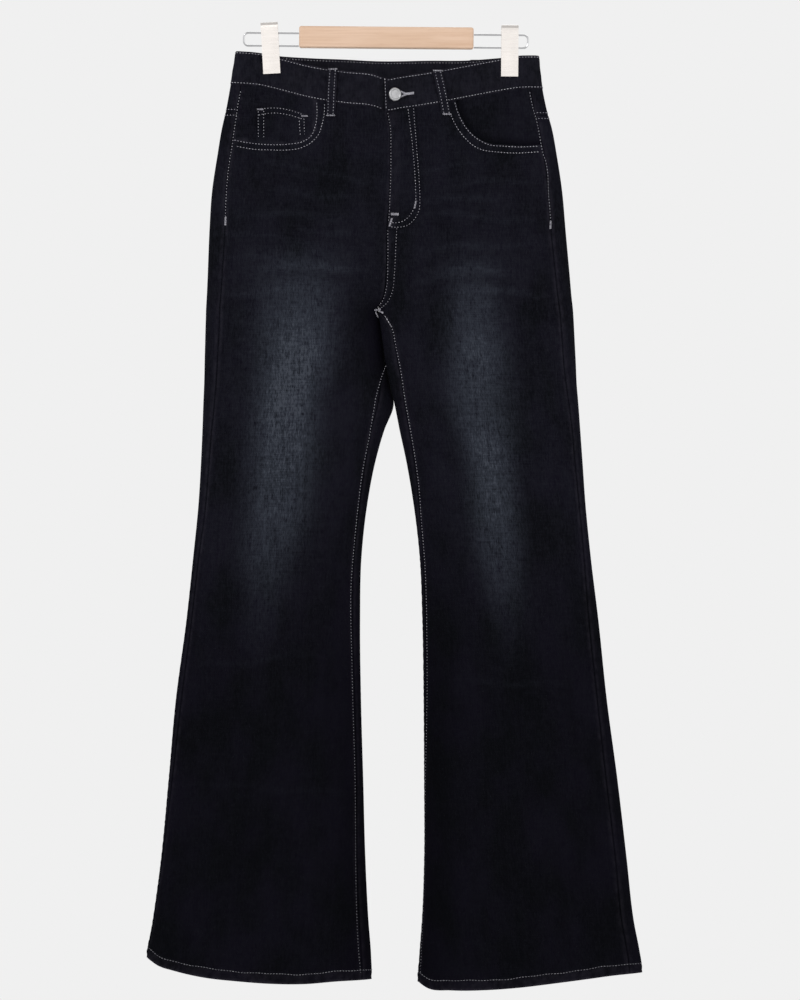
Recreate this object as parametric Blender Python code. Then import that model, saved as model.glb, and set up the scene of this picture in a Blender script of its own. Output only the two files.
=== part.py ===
"""Bootcut jeans clamped by the waist in a wooden bar hanger with two metal clips.

Metres, +Z up. The origin is the middle of the bar's top, where the hanger is held.
+X is the viewer's right, which is the wearer's left, and the front faces -Y.
Tables and sizes are in millimetres. "drop" is a distance below the origin.

Each half of the jeans is one flattened tube. A place on it is (side, s, drop): s runs
from 0 at the outer fold over the front to 1 at the centre or the inner fold, and on
over the back to 2, which is the outer fold again. Every panel, patch and band is a
stretch of that surface, given a wall.
"""
import math

import bmesh
import bpy
import numpy as np
from mathutils import Matrix, Vector

MM = 0.001

# ---------------------------------------------------------------- driving sizes, mm
CLOTH = 1.5                  # wall of a single layer of denim
BAND_OUT = 0.45              # the folded waistband stands this far out of the panels
BAND_IN = 1.95               # and reaches this far in
HEM_OUT = 0.35               # extra thickness of the turned hem, outside
HEM_IN = 0.75                # and inside
HEM_WIDTH = 12.0
HALF_GAP = 0.22              # half of the gap left between sewn pieces
LAY_GAP = 0.35               # gap under a piece that lies on a panel
PATCH = 1.1                  # wall of a patch that lies on a panel
BAND_TOP = 28.0              # levels of the waistband's edges at the right side fold
BAND_BOTTOM = 66.0
DROOP_END = 236.0            # below this level the waist's droop has faded out
CROTCH = 322.0
YOKE_SIDE = 97.0             # level of the yoke seam at the side
YOKE_CENTRE = 130.0          # and at the centre back
YOKE_END = 300.0             # below this level the yoke's slope has faded out
HEM = 1090.0
HEM_START = 780.0            # the hem's curve fades in from this level
LENS_POWER = 3.2             # how square the flattened tube's section is
FOLD_RADIUS = 5.0            # side fold at the waist
WAIST_END = 230.0            # the clamped waist has become the full tube here
SEAT_RISE = 150.0            # height over which the crotch opens to the full depth
OVERLAP_X = -2.5             # free end of the waistband's upper end
UNDERLAP_X = 8.0             # free end of the lower one, under it
DIP_START_X = -24.0          # the lower end begins to sink in here
DIP_RUN = 14.0               # and lies at its full depth this much further on
BAND_ROWS = 3

# Outline seen from the front (x), each seam's distance in from its edge, and the half
# depth of the front and back of the tube.
SECTION_COLUMNS = ("drop", "right_outer", "right_outseam", "right_inseam", "right_inner",
                   "left_inner", "left_inseam", "left_outseam", "left_outer",
                   "front", "back")
SECTIONS = (
    (28, -170.0, 11.0, 0.0, 0.5, 0.5, 0.0, 13.0, 171.5, 20, 22),
    (65, -176.0, 12.0, 0.0, 0.5, 0.5, 0.0, 13.5, 175.5, 20, 22),
    (95, -181.5, 13.0, 0.0, 0.8, 0.8, 0.0, 15.0, 181.5, 20, 22),
    (115, -186.0, 14.0, 0.0, 4.2, 4.2, 0.0, 15.0, 187.0, 20, 23),
    (145, -191.0, 15.0, 0.0, 4.8, 4.8, 0.0, 15.0, 192.5, 20, 23),
    (185, -197.0, 16.5, 0.0, 4.2, 4.2, 0.0, 16.0, 198.5, 22, 24),
    (230, -200.0, 18.0, 0.0, 0.8, 0.8, 0.0, 17.0, 202.5, 23, 25),
    (280, -202.0, 17.0, 0.0, -0.2, -0.2, 0.0, 16.5, 207.0, 24, 26),
    (303, -203.0, 16.5, 0.0, -2.8, -2.8, 0.0, 16.0, 209.0, 24, 27),
    (322, -204.0, 16.0, 0.0, -9.0, -9.0, 0.0, 15.5, 211.0, 24, 28),
    (330, -204.2, 16.0, 0.2, -7.2, -8.4, 8.0, 15.2, 211.5, 24, 28),
    (340, -204.5, 16.0, 0.3, -5.0, -6.8, 12.0, 15.0, 212.0, 24, 28),
    (360, -205.0, 15.5, 0.5, -2.2, -4.0, 13.5, 14.5, 213.0, 24, 27),
    (380, -205.5, 15.0, 1.5, 0.4, -1.2, 14.0, 14.0, 214.0, 23, 26),
    (403, -206.0, 14.0, 10.5, 4.6, 3.6, 13.5, 12.5, 215.0, 22, 24),
    (427, -207.0, 13.0, 18.0, 8.4, 9.0, 11.5, 11.0, 217.0, 22, 22),
    (455, -208.0, 11.0, 15.0, -2.0, 14.5, 10.5, 9.5, 219.0, 21, 21),
    (490, -209.5, 9.5, 11.0, -12.0, 22.0, 9.0, 9.0, 221.5, 19, 19),
    (540, -212.5, 8.5, 8.5, -21.5, 30.5, 6.0, 7.5, 225.0, 17, 17),
    (600, -218.5, 6.5, 8.5, -28.0, 37.5, 3.5, 8.0, 231.0, 15, 15),
    (670, -226.0, 6.0, 8.5, -29.5, 40.5, 3.0, 11.0, 239.5, 13, 14),
    (760, -238.0, 6.5, 7.0, -28.5, 42.0, 2.0, 11.0, 249.0, 13, 14),
    (850, -246.0, 4.0, 7.5, -26.0, 42.5, 0.8, 13.0, 261.0, 14, 15),
    (940, -254.5, 1.5, 9.5, -23.5, 42.5, 0.5, 13.0, 271.5, 15, 16),
    (1010, -264.0, 1.0, 10.5, -20.0, 40.0, 0.8, 14.0, 279.5, 16, 16),
    (1050, -270.5, 1.0, 11.0, -17.0, 37.0, 1.2, 14.5, 287.0, 17, 16),
    (1090, -269.0, 1.0, 10.0, -17.0, 34.5, 1.5, 14.5, 290.5, 17, 16),
)

# The waist at the waistband's lower edge: half depths, and that edge's drop.
WAIST_COLUMNS = ("x", "front", "back", "front_seam", "back_seam")
WAIST = (
    (-170, 5.0, 5.0, 65.5, 65.5),
    (-143, 2.7, 2.7, 67.5, 68.5),
    (-119, 2.7, 2.7, 73.0, 71.0),
    (-83, 9.5, 5.0, 82.5, 73.0),
    (-45, 16.5, 8.0, 89.0, 74.2),
    (-12, 19.2, 9.3, 93.2, 75.8),
    (0, 19.5, 9.5, 97.6, 76.0),
    (14, 19.2, 9.4, 95.4, 75.9),
    (45, 17.0, 8.0, 90.5, 75.4),
    (90, 9.5, 5.0, 81.5, 75.5),
    (127, 2.7, 2.7, 74.0, 73.0),
    (151, 2.7, 2.7, 70.5, 71.0),
    (168, 5.0, 5.0, 70.5, 70.5),
)

# The hems' drop, across each leg from its outer fold (0) to its inner fold (1).
HEM_COLUMNS = ("across", "right", "left")
HEMS = (
    (0.00, 1051.0, 1068.0),
    (0.05, 1059.5, 1068.8),
    (0.12, 1065.0, 1070.2),
    (0.25, 1072.3, 1074.3),
    (0.40, 1076.6, 1079.2),
    (0.55, 1079.4, 1083.8),
    (0.70, 1079.8, 1086.6),
    (0.85, 1077.0, 1087.1),
    (0.96, 1075.9, 1084.5),
    (1.00, 1075.5, 1078.0),
)
BACK_HEM_DROOP = 0.7         # the back hems droop less than the front ones

# How far each inner fold leans back (+) or forward (-) where the thighs touch.
LEAN_COLUMNS = ("drop", "right", "left")
LEANS = (
    (305, 0.0, 0.0),
    (322, 2.5, -1.5),
    (340, 7.0, -4.0),
    (365, 8.5, -4.5),
    (403, 7.0, -4.0),
    (427, 4.0, -2.0),
    (500, 0.0, 0.0),
)

# The largest soft troughs: face, middle, direction (0 is level), and sizes.
FOLD_COLUMNS = ("face", "x", "drop", "angle", "length", "width", "depth")
FOLDS = (
    ("front", -24, 338, 75, 75, 11, 5.0),
    ("front", -112, 238, 14, 60, 12, 1.6),
    ("front", 118, 240, -12, 62, 12, 1.6),
    ("front", -60, 292, 32, 62, 11, 2.2),
    ("front", 58, 296, -34, 64, 11, 2.2),
    ("front", -150, 452, 70, 90, 14, 1.6),
    ("front", 128, 880, -62, 120, 16, 1.8),
    ("front", -118, 830, 66, 130, 17, 1.8),
    ("back", -88, 352, 28, 78, 12, 3.0),
    ("back", 92, 350, -26, 80, 12, 3.0),
    ("back", -104, 386, 18, 70, 11, 2.4),
    ("back", 108, 390, -20, 66, 11, 2.4),
    ("back", -128, 588, 12, 62, 12, 1.8),
    ("back", 140, 600, -10, 64, 12, 1.8),
)
FOLD_END = 1.6               # how soon a fold fades out along its length

# Edges of the scoop pockets' openings (x, drop), from the waistband to the outseam.
SCOOPS = {
    "right": ((-80, 82), (-79.5, 97), (-80.5, 110), (-84, 122.5), (-93, 129),
              (-110, 132), (-128, 132.7), (-150, 131), (-178, 127)),
    "left": ((77.5, 82), (81, 96), (87, 108), (97, 121.5), (107.5, 129),
             (118, 132.7), (133, 133.6), (152, 135), (182, 133)),
}
SCOOP_MARGIN = 12.0          # the facing runs this far under the front
FACING_BOTTOM = 147.0
FACING_INSET = 2.0           # how deep the facing lies under the scoop's edge
FACING_RISE = 14.0           # and over what distance it comes up to the panels' level

FACING_ROWS = 8
FACING_COLUMNS = 9
CUTTER_REACH = 230.0         # the block that cuts the scoop ends past the outer fold,
CUTTER_TOP = 40.0            # above the front's top edge,
CUTTER_FRONT = -60.0         # in front of the cloth
CUTTER_REAR = 1.0            # and between the front and the back

COIN_TOP_COLUMNS = ("x", "drop")
COIN_TOP = ((-146, 92.5), (-127, 90.5), (-110, 92.8), (-90.5, 99.0))
COIN_BOTTOM_GAP = 0.8        # the coin pocket ends this far above the scoop's edge

FLY_COLUMNS = ("drop", "x")  # the J curve's edge
FLY_CURVE = ((90, 31.5), (141, 35.6), (185, 38.8), (200, 39.0), (210, 37.3),
             (219, 32.5), (225, 26.0), (228.5, 19.0), (230, 10.0))
FLY_CURVE_START = 3          # from this row on the curve's own rows are used
FLY_COLUMN_COUNT = 5

BACK_POCKET_COLUMNS = ("down", "near_centre", "near_side")
BACK_POCKET = ((0, 31, 161), (45, 33, 159), (90, 35, 157), (124, 37, 155))
BACK_POCKET_TOP = 150.0
BACK_POCKET_GAP = 0.5        # gap between it and the back
BACK_POCKET_POINT = 17.0     # the point hangs this far below the lower corners

# name: face, x at the top and bottom, drop at the top and bottom
BELT_LOOPS = {
    "front_right": ("front", -59.7, -62.7, 47.5, 103.0),
    "front_left": ("front", 56.7, 68.0, 49.5, 101.5),
    "back_right": ("back", -96.0, -96.0, 35.0, 91.5),
    "back_centre": ("back", 0.0, 0.0, 38.5, 95.5),
    "back_left": ("back", 100.0, 100.0, 36.5, 92.5),
}
LOOP_WIDTH = 10.5
LOOP_CLOTH = 1.6
LOOP_STANDOFF = (0.85, 2.3, 2.9, 2.9, 2.3, 1.3, 0.6)     # from its top to its bottom

BUTTON_X = 7.6
BUTTON_DROP = 78.4
BUTTON_RADIUS = 7.6
BUTTON_TILT = math.radians(24)

BAR_LENGTH = 197.0
BAR_HEIGHT = 24.5
BAR_DEPTH = 12.0
HANGER_TILT = math.radians(0.49)
WIRE_RADIUS = 1.1
WIRE_LEVELS = (8.0, 22.5)
WIRE_ENDS = {"right": -161.0, "left": 160.0}
WIRE_CORNER = 5.0

CLIP_WIDTH = 19.3
CLIP_METAL = 1.1
CLIP_LENGTH = 58.5
CLIP_WAIST_GAP = 3.55        # half the space between the jaws, where they hold cloth
CLIP_WIRE_GAP = 5.0          # and round the wires
CLIP_JAW = 18.0              # length of the flat part that holds the cloth
CLIP_NECK = 26.0             # the strap has opened to the wires' width this far up
CLIP_COLUMNS = ("x", "top", "lean")
CLIPS = {"right": (-131.0, -5.4, 3.2),
         "left": (139.3, -2.2, -0.5)}

# ---------------------------------------------------------------- counts
FRONT_COLUMNS = 12
BACK_COLUMNS = 15
FINE = 700                   # samples used to space a row's columns
TURN_WEIGHT = 16.0           # mm of cloth that one radian of bend counts for
BACK_LEVELS = (97, 122, 150, 180, 212, 246, 276, 300, 314, 322, 330, 342,
               360, 380, 403, 427, 455, 495, 550, 620, 700, 790, 880, 960, 1020,
               1066, 1078, 1090)
FRONT_LEVELS = (66, 81.5) + BACK_LEVELS
PARTING = 495                # a leg panel is two solids that meet at this level, because
PARTING_GAP = 0.3            # the hull of a whole one would fill the leg
YOKE_STEPS = 2


# ---------------------------------------------------------------- tables
def table(columns, rows):
    """Turn rows into one array for each named column."""
    return {name: np.array([row[i] for row in rows]) for i, name in enumerate(columns)}


def smooth(xs, ys, x):
    """Read a smooth curve through the knots (xs, ys); it is level outside them."""
    xs = np.asarray(xs, float)
    ys = np.asarray(ys, float)
    slopes = np.gradient(ys, xs)
    x = np.clip(x, xs[0], xs[-1])
    k = np.clip(np.searchsorted(xs, x, side="right") - 1, 0, len(xs) - 2)
    step = xs[k + 1] - xs[k]
    t = (x - xs[k]) / step
    rise = ys[k] * (2 * t**3 - 3 * t**2 + 1) + ys[k + 1] * (3 * t**2 - 2 * t**3)
    lean = slopes[k] * (t**3 - 2 * t**2 + t) + slopes[k + 1] * (t**3 - t**2)
    return rise + lean * step


def ease(t):
    """Go from 0 to 1 with level ends."""
    t = np.clip(t, 0.0, 1.0)
    return t * t * (3 - 2 * t)


SECTION = table(SECTION_COLUMNS, SECTIONS)
WAISTLINE = table(WAIST_COLUMNS, WAIST)
HEMLINE = table(HEM_COLUMNS, HEMS)
LEAN = table(LEAN_COLUMNS, LEANS)


def section(name, drop):
    return smooth(SECTION["drop"], SECTION[name], drop)


def waistline(name, x):
    return smooth(WAISTLINE["x"], WAISTLINE[name], x)


# ---------------------------------------------------------------- the surface
def outline(side, on_front, drop):
    """Give x of the outer fold and of the centre or inner fold."""
    inward = -1 if side == "right" else 1
    outer = section(side + "_outer", drop)
    inner = section(side + "_inner", drop)
    crotch_x = section("right_inner", CROTCH)
    down = np.clip((drop - BAND_BOTTOM) / (CROTCH - BAND_BOTTOM), 0, 1)
    back_centre = crotch_x * down**2
    inner = np.where(on_front | (drop >= CROTCH), inner, back_centre)
    return outer, inner + inward * HALF_GAP


def place(side, s):
    """Say whether s is on the front, and how far across the half it is."""
    s = np.mod(s, 2.0)
    on_front = s < 1.0
    turn = np.where(on_front, s, 2.0 - s)
    return on_front, (1 - np.cos(math.pi * turn)) / 2


def trough(face_is_front, x, drop):
    """Give how far the soft folds press this place in."""
    depth = np.zeros(np.broadcast(x, drop).shape)
    for row in FOLDS:
        fold = dict(zip(FOLD_COLUMNS, row))
        turn = math.radians(fold["angle"])
        right, down = x - fold["x"], drop - fold["drop"]
        along = right * math.cos(turn) + down * math.sin(turn)
        across = down * math.cos(turn) - right * math.sin(turn)
        shape = np.exp(-(across / fold["width"])**2)
        shape = shape * np.exp(-(along / fold["length"] * FOLD_END)**4)
        here = face_is_front == (fold["face"] == "front")
        depth += np.where(here, fold["depth"] * shape, 0.0)
    return depth


def tube(side, s, drop):
    """Give the points of the outer surface, in millimetres."""
    s, drop = np.broadcast_arrays(np.asarray(s, float), np.asarray(drop, float))
    on_front, across = place(side, s)
    outer, inner = outline(side, on_front, drop)
    x = outer + (inner - outer) * across
    full = np.where(on_front, section("front", drop), section("back", drop))
    risen = np.clip((CROTCH - drop) / SEAT_RISE, 0, 1)
    closing = np.where(across > 0.5, (1 - risen)**2, 1.0)
    edge = np.abs(2 * across - 1)**LENS_POWER
    lens = full * np.sqrt(np.maximum(1 - closing * edge, 0))
    flat = np.where(on_front, waistline("front", x), waistline("back", x))
    from_fold = np.clip(np.abs(x - outer) / FOLD_RADIUS, 0, 1)
    clamped = flat * np.sqrt(np.maximum(1 - (1 - from_fold)**2, 0))
    half = clamped + (lens - clamped) * ease((drop - BAND_BOTTOM) / (WAIST_END - BAND_BOTTOM))
    half = half - trough(on_front, x, drop) * (1 - edge) * (lens / full)
    lean = smooth(LEAN["drop"], LEAN[side], drop) * ease((across - 0.6) / 0.4)
    y = np.where(on_front, -half, half) + lean
    return np.stack([x, y, -drop], axis=-1)


def outward(side, s, drop):
    """Give the surface's unit normals, pointing out of the garment."""
    s, drop = np.broadcast_arrays(np.asarray(s, float), np.asarray(drop, float))
    small_s, small_drop = 0.002, 0.2
    seat = drop < CROTCH
    turn = np.mod(s, 2.0)
    ahead = np.where(seat & (turn < 1), np.minimum(small_s, 0.999999 - turn), small_s)
    behind = np.where(seat & (turn >= 1), np.minimum(small_s, turn - 1), small_s)
    below = np.where(seat, np.minimum(small_drop, CROTCH - 0.001 - drop), small_drop)
    above = np.where(seat, small_drop, np.minimum(small_drop, drop - CROTCH))
    along = tube(side, s + ahead, drop) - tube(side, s - behind, drop)
    down = tube(side, s, drop + below) - tube(side, s, drop - above)
    normal = np.cross(along, down)
    normal /= np.linalg.norm(normal, axis=-1, keepdims=True)
    return -normal if side == "right" else normal


def lifted(side, s, drop, lift):
    """Give points moved out of the surface by lift millimetres."""
    lift = np.asarray(lift, float)
    return tube(side, s, drop) + outward(side, s, drop) * lift[..., None]


# ---------------------------------------------------------------- levels and seams
def sheared(side, s, level):
    """Turn a level of the pattern into the drop at which it hangs at s."""
    on_front, across = place(side, s)
    outer, inner = outline(side, on_front, np.asarray(level, float))
    x = outer + (inner - outer) * across
    seam = np.where(on_front, waistline("front_seam", x), waistline("back_seam", x))
    droop = np.clip((DROOP_END - level) / (DROOP_END - BAND_BOTTOM), 0, 1)**1.5
    curve = smooth(HEMLINE["across"], HEMLINE[side], across)
    chord = HEMLINE[side][0] + (HEMLINE[side][-1] - HEMLINE[side][0]) * across
    curve = np.where(on_front, curve, chord + (curve - chord) * BACK_HEM_DROOP)
    hung = ease((np.asarray(level, float) - HEM_START) / (HEM - HEM_START))
    return level + (seam - BAND_BOTTOM) * droop + (curve - HEM) * hung


def yoke_level(side, s):
    """Give the level of the yoke seam at s."""
    on_front, across = place(side, s)
    return YOKE_SIDE + (YOKE_CENTRE - YOKE_SIDE) * np.where(on_front, 0.0, across)


def back_level(side, s, level):
    """Give a back panel's level, which follows the yoke seam near the top."""
    slope = np.clip((YOKE_END - level) / (YOKE_END - YOKE_SIDE), 0, 1)**1.5
    return level + (yoke_level(side, s) - YOKE_SIDE) * slope


def outseam_s(side, level):
    """Give s of the outseam, which lies on the front."""
    drop = sheared(side, 0.1, level)
    outer, inner = outline(side, True, drop)
    inset = section(side + "_outseam", drop) / abs(inner - outer)
    return math.acos(1 - 2 * inset) / math.pi


def inseam_s(side, level):
    """Give s of the inseam: the centre in the seat, on the front down the leg."""
    drop = sheared(side, 0.9, level)
    outer, inner = outline(side, True, drop)
    inset = max(section(side + "_inseam", drop), 0.0) / abs(inner - outer)
    return 1 - math.acos(1 - 2 * inset) / math.pi


def seam_trim(side, seam, level):
    """Give half the gap along a row, wider where the seam runs slantwise."""
    ends = []
    for near in (level - 1.5, level + 1.5):
        s = seam(side, near)
        ends.append(tube(side, s, sheared(side, s, near)))
    run = ends[1] - ends[0]
    return HALF_GAP * np.linalg.norm(run) / max(abs(run[2]), 0.1)


def spaced(side, start, end, drop_at, columns, trims):
    """Space a row's columns evenly along the cloth, closer where it bends."""
    fine = np.linspace(start, end, FINE)
    points = tube(side, fine, drop_at(fine))
    steps = np.diff(points, axis=0)
    run = np.linalg.norm(steps, axis=1)
    length = np.concatenate([[0.0], np.cumsum(run)])
    ways = steps / np.maximum(run, 1e-9)[:, None]
    bends = np.linalg.norm(np.diff(ways, axis=0), axis=1)
    bend = np.concatenate([[0.0], np.cumsum(bends), [np.sum(bends)]])
    measure = length + TURN_WEIGHT * bend
    ends = np.interp([trims[0], length[-1] - trims[1]], length, measure)
    return np.interp(np.linspace(ends[0], ends[1], columns + 1), measure, fine)


def front_row(side, level):
    """Give s of each column of a front panel at this level."""
    trim = 0.0 if level < CROTCH else seam_trim(side, inseam_s, level)
    end = min(inseam_s(side, level), 0.999999)
    return spaced(side, outseam_s(side, level), end,
                  lambda s: sheared(side, s, level), FRONT_COLUMNS, (HALF_GAP, trim))


def back_row(side, level, level_at=back_level):
    """Give s of each column of a back panel or yoke at this level."""
    trim = 0.0 if level < CROTCH else seam_trim(side, inseam_s, level)
    return spaced(side, inseam_s(side, level), 2 + outseam_s(side, level),
                  lambda s: sheared(side, s, level_at(side, s, level)),
                  BACK_COLUMNS, (trim, HALF_GAP))


# ---------------------------------------------------------------- making objects
def material(name, colour, roughness, metallic=0.0):
    made = bpy.data.materials.new(name)
    made.use_nodes = True
    shader = made.node_tree.nodes["Principled BSDF"]
    shader.inputs["Base Color"].default_value = (*colour, 1.0)
    shader.inputs["Roughness"].default_value = roughness
    shader.inputs["Metallic"].default_value = metallic
    return made


def add_object(name, mesh, made):
    thing = bpy.data.objects.new(name, mesh)
    bpy.context.scene.collection.objects.link(thing)
    mesh.materials.append(made)
    return thing


def wall(name, outer, inner, made):
    """Close two matching grids of points, in millimetres, into one solid wall."""
    rows, columns = outer.shape[:2]
    made_mesh = bmesh.new()
    faces = []
    grids = []
    for grid in (outer, inner):
        grids.append([[made_mesh.verts.new(point * MM) for point in row] for row in grid])
    for verts in grids:
        for i in range(rows - 1):
            for j in range(columns - 1):
                faces.append((verts[i][j], verts[i][j + 1], verts[i + 1][j + 1],
                              verts[i + 1][j]))
    rim = [(0, j) for j in range(columns)]
    rim += [(i, columns - 1) for i in range(1, rows)]
    rim += [(rows - 1, j) for j in range(columns - 2, -1, -1)]
    rim += [(i, 0) for i in range(rows - 2, 0, -1)]
    for here, there in zip(rim, rim[1:] + rim[:1]):
        faces.append((grids[0][here[0]][here[1]], grids[0][there[0]][there[1]],
                      grids[1][there[0]][there[1]], grids[1][here[0]][here[1]]))
    for face in faces:
        made_mesh.faces.new(face)
    bmesh.ops.recalc_face_normals(made_mesh, faces=made_mesh.faces[:])
    mesh = bpy.data.meshes.new(name)
    made_mesh.to_mesh(mesh)
    made_mesh.free()
    mesh.shade_smooth()
    mesh.set_sharp_from_angle(angle=math.radians(50))
    return add_object(name, mesh, made)


def panel(name, side, s_rows, drops, made, lift_out=0.0, lift_in=-CLOTH):
    """Make a wall on the surface from rows of s and their drops."""
    s = np.array(s_rows)
    drop = np.array(drops)
    lift_out = np.broadcast_to(lift_out, s.shape)
    lift_in = np.broadcast_to(lift_in, s.shape)
    return wall(name, lifted(side, s, drop, lift_out), lifted(side, s, drop, lift_in), made)


def s_from_x(side, face, x, drop):
    """Give s of the place at this x on the front or the back."""
    outer, inner = outline(side, np.array(face == "front"), np.asarray(drop, float))
    turn = np.arccos(1 - 2 * np.clip((x - outer) / (inner - outer), 0, 1)) / math.pi
    return turn if face == "front" else 2 - turn


# ---------------------------------------------------------------- jeans
def hem_lifts(level):
    turned = ease((level - (HEM - 2 * HEM_WIDTH)) / HEM_WIDTH)
    return HEM_OUT * turned, -CLOTH - HEM_IN * turned


def leg_panel(name, side, all_levels, row, level_at, denim):
    """Make a front or back as its upper and lower solid, and give the upper one."""
    upper = [level for level in all_levels if level < PARTING] + [PARTING - PARTING_GAP / 2]
    lower = [PARTING + PARTING_GAP / 2] + [level for level in all_levels if level > PARTING]
    made = {}
    for part, levels in (("upper", upper), ("lower", lower)):
        rows = [row(side, level) for level in levels]
        drops = [sheared(side, s, level_at(side, s, level)) for s, level in zip(rows, levels)]
        if part == "upper":
            drops[0] = drops[0] + HALF_GAP
        lifts = [hem_lifts(level) for level in levels]
        out = np.array([[pair[0]] for pair in lifts])
        inn = np.array([[pair[1]] for pair in lifts])
        made[part] = panel(f"{name}_{side}_{part}", side, rows, drops, denim, out, inn)
    return made["upper"]


def make_front(side, denim):
    front = leg_panel("front", side, FRONT_LEVELS, front_row, lambda *at: at[2], denim)
    cutter = make_scoop_cutter(side)
    cut = front.modifiers.new("scoop", "BOOLEAN")
    cut.operation = "DIFFERENCE"
    cut.solver = "EXACT"
    cut.object = cutter
    return front


def scoop_curve(side, steps=3):
    """Give the smooth edge of a scoop pocket's opening as (x, drop) points."""
    knots = np.array(SCOOPS[side])
    at = np.concatenate([[0], np.cumsum(np.linalg.norm(np.diff(knots, axis=0), axis=1))])
    fine = np.interp(np.arange(0, (len(knots) - 1) * steps + 1) / steps,
                     np.arange(len(knots)), at)
    return np.stack([smooth(at, knots[:, 0], fine), smooth(at, knots[:, 1], fine)], axis=1)


def make_scoop_cutter(side):
    """Make the block that opens the scoop: from its edge up and out past the panel."""
    past = -CUTTER_REACH if side == "right" else CUTTER_REACH
    edge = [tuple(point) for point in scoop_curve(side)]
    loop = [(edge[0][0], CUTTER_TOP)] + edge + [(past, edge[-1][1]), (past, CUTTER_TOP)]
    made_mesh = bmesh.new()
    face = made_mesh.faces.new([made_mesh.verts.new((x * MM, CUTTER_FRONT * MM, -drop * MM))
                                for x, drop in loop])
    grown = bmesh.ops.extrude_face_region(made_mesh, geom=[face])
    moved = [item for item in grown["geom"] if isinstance(item, bmesh.types.BMVert)]
    bmesh.ops.translate(made_mesh, verts=moved,
                        vec=(0, (CUTTER_REAR - CUTTER_FRONT) * MM, 0))
    bmesh.ops.recalc_face_normals(made_mesh, faces=made_mesh.faces[:])
    mesh = bpy.data.meshes.new("scoop_cutter_" + side)
    made_mesh.to_mesh(mesh)
    made_mesh.free()
    cutter = bpy.data.objects.new("scoop_cutter_" + side, mesh)
    bpy.context.scene.collection.objects.link(cutter)
    cutter.hide_render = True
    cutter.display_type = "WIRE"
    return cutter


def make_back(side, denim):
    leg_panel("back", side, BACK_LEVELS, back_row, back_level, denim)


def yoke_row(side, step):
    """Give s and the level of each column of a yoke, from waist (0) to seam (1)."""
    def level_at(_, s, __):
        return BAND_BOTTOM + (yoke_level(side, s) - BAND_BOTTOM) * step
    s = back_row(side, BAND_BOTTOM + (YOKE_SIDE - BAND_BOTTOM) * step, level_at)
    return s, sheared(side, s, level_at(side, s, None))


def make_yoke(side, denim):
    rows, drops = zip(*[yoke_row(side, step / YOKE_STEPS) for step in range(YOKE_STEPS + 1)])
    drops = list(drops)
    drops[0] = drops[0] + HALF_GAP
    drops[-1] = drops[-1] - HALF_GAP
    panel("yoke_" + side, side, rows, drops, denim)


def band_point(side, s, level, lift):
    drop = sheared(side, np.array(s), level)
    return lifted(side, np.array(s), drop, np.array(lift))


def make_waistband(denim):
    """Make the band as one open ring from its upper end round to its lower end."""
    front = {side: front_row(side, BAND_BOTTOM) for side in ("right", "left")}
    rear = {side: yoke_row(side, 0.0)[0] for side in ("right", "left")}
    ring = [("right", float(s_from_x("right", "front", OVERLAP_X, BAND_BOTTOM)))]
    ring += [("left", s) for s in front["left"][-2::-1]]
    ring += [("left", s) for s in rear["left"][-2::-1]]
    ring += [("right", s) for s in rear["right"][1:-1]]
    ring += [("right", s) for s in front["right"][:-1]]
    under = [("right", float(s_from_x("right", "front", -1.0, BAND_BOTTOM))),
             ("left", float(s_from_x("left", "front", UNDERLAP_X, BAND_BOTTOM)))]
    levels = np.linspace(BAND_TOP, BAND_BOTTOM - HALF_GAP, BAND_ROWS + 1)
    outer, inner = [], []
    for level in levels:
        outs, ins = [], []
        for i, (side, s) in enumerate(ring + under):
            x = float(tube(side, s, level)[0])
            last_stretch = i > len(ring) - 4
            dip = float(ease((x - DIP_START_X) / DIP_RUN)) if last_stretch else 0.0
            sunk = dip * (BAND_OUT + BAND_IN + LAY_GAP)
            outs.append(band_point(side, s, level, BAND_OUT - sunk))
            ins.append(band_point(side, s, level, -BAND_IN - sunk))
        outer.append(outs)
        inner.append(ins)
    wall("waistband", np.array(outer), np.array(inner), denim)


def facing_lift(side, x, drop):
    """Give the level of the hip piece: sunk under the scoop's edge, flush elsewhere."""
    edge = scoop_curve(side)
    gap = np.sqrt((x[..., None] - edge[:, 0])**2 + (drop[..., None] - edge[:, 1])**2)
    distance = gap.min(axis=-1)
    outer_sign = -1 if side == "right" else 1
    order = np.argsort(edge[:, 0])
    below = drop > np.interp(x, edge[order, 0], edge[order, 1]) - 0.1
    beyond = outer_sign * (x - edge[0, 0]) < 0
    hidden = below | beyond
    return np.where(hidden, -FACING_INSET,
                    -FACING_INSET * (1 - ease((distance - 2) / FACING_RISE)))


def make_facing(side, denim):
    outer_sign = -1 if side == "right" else 1
    inner_x = SCOOPS[side][0][0] - outer_sign * SCOOP_MARGIN
    levels = np.linspace(BAND_BOTTOM, FACING_BOTTOM, FACING_ROWS + 1)
    rows, drops = [], []
    for level in levels:
        start = outseam_s(side, level)
        end = float(s_from_x(side, "front", inner_x, level))
        s = spaced(side, start, end, lambda t: sheared(side, t, level), FACING_COLUMNS,
                   (HALF_GAP, 0))
        rows.append(s)
        drops.append(sheared(side, s, level))
    drops[0] = drops[0] + HALF_GAP
    s = np.array(rows)
    drop = np.array(drops)
    lift = facing_lift(side, tube(side, s, drop)[..., 0], drop)
    panel("pocket_facing_" + side, side, s, drop, denim, lift, lift - CLOTH)


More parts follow.
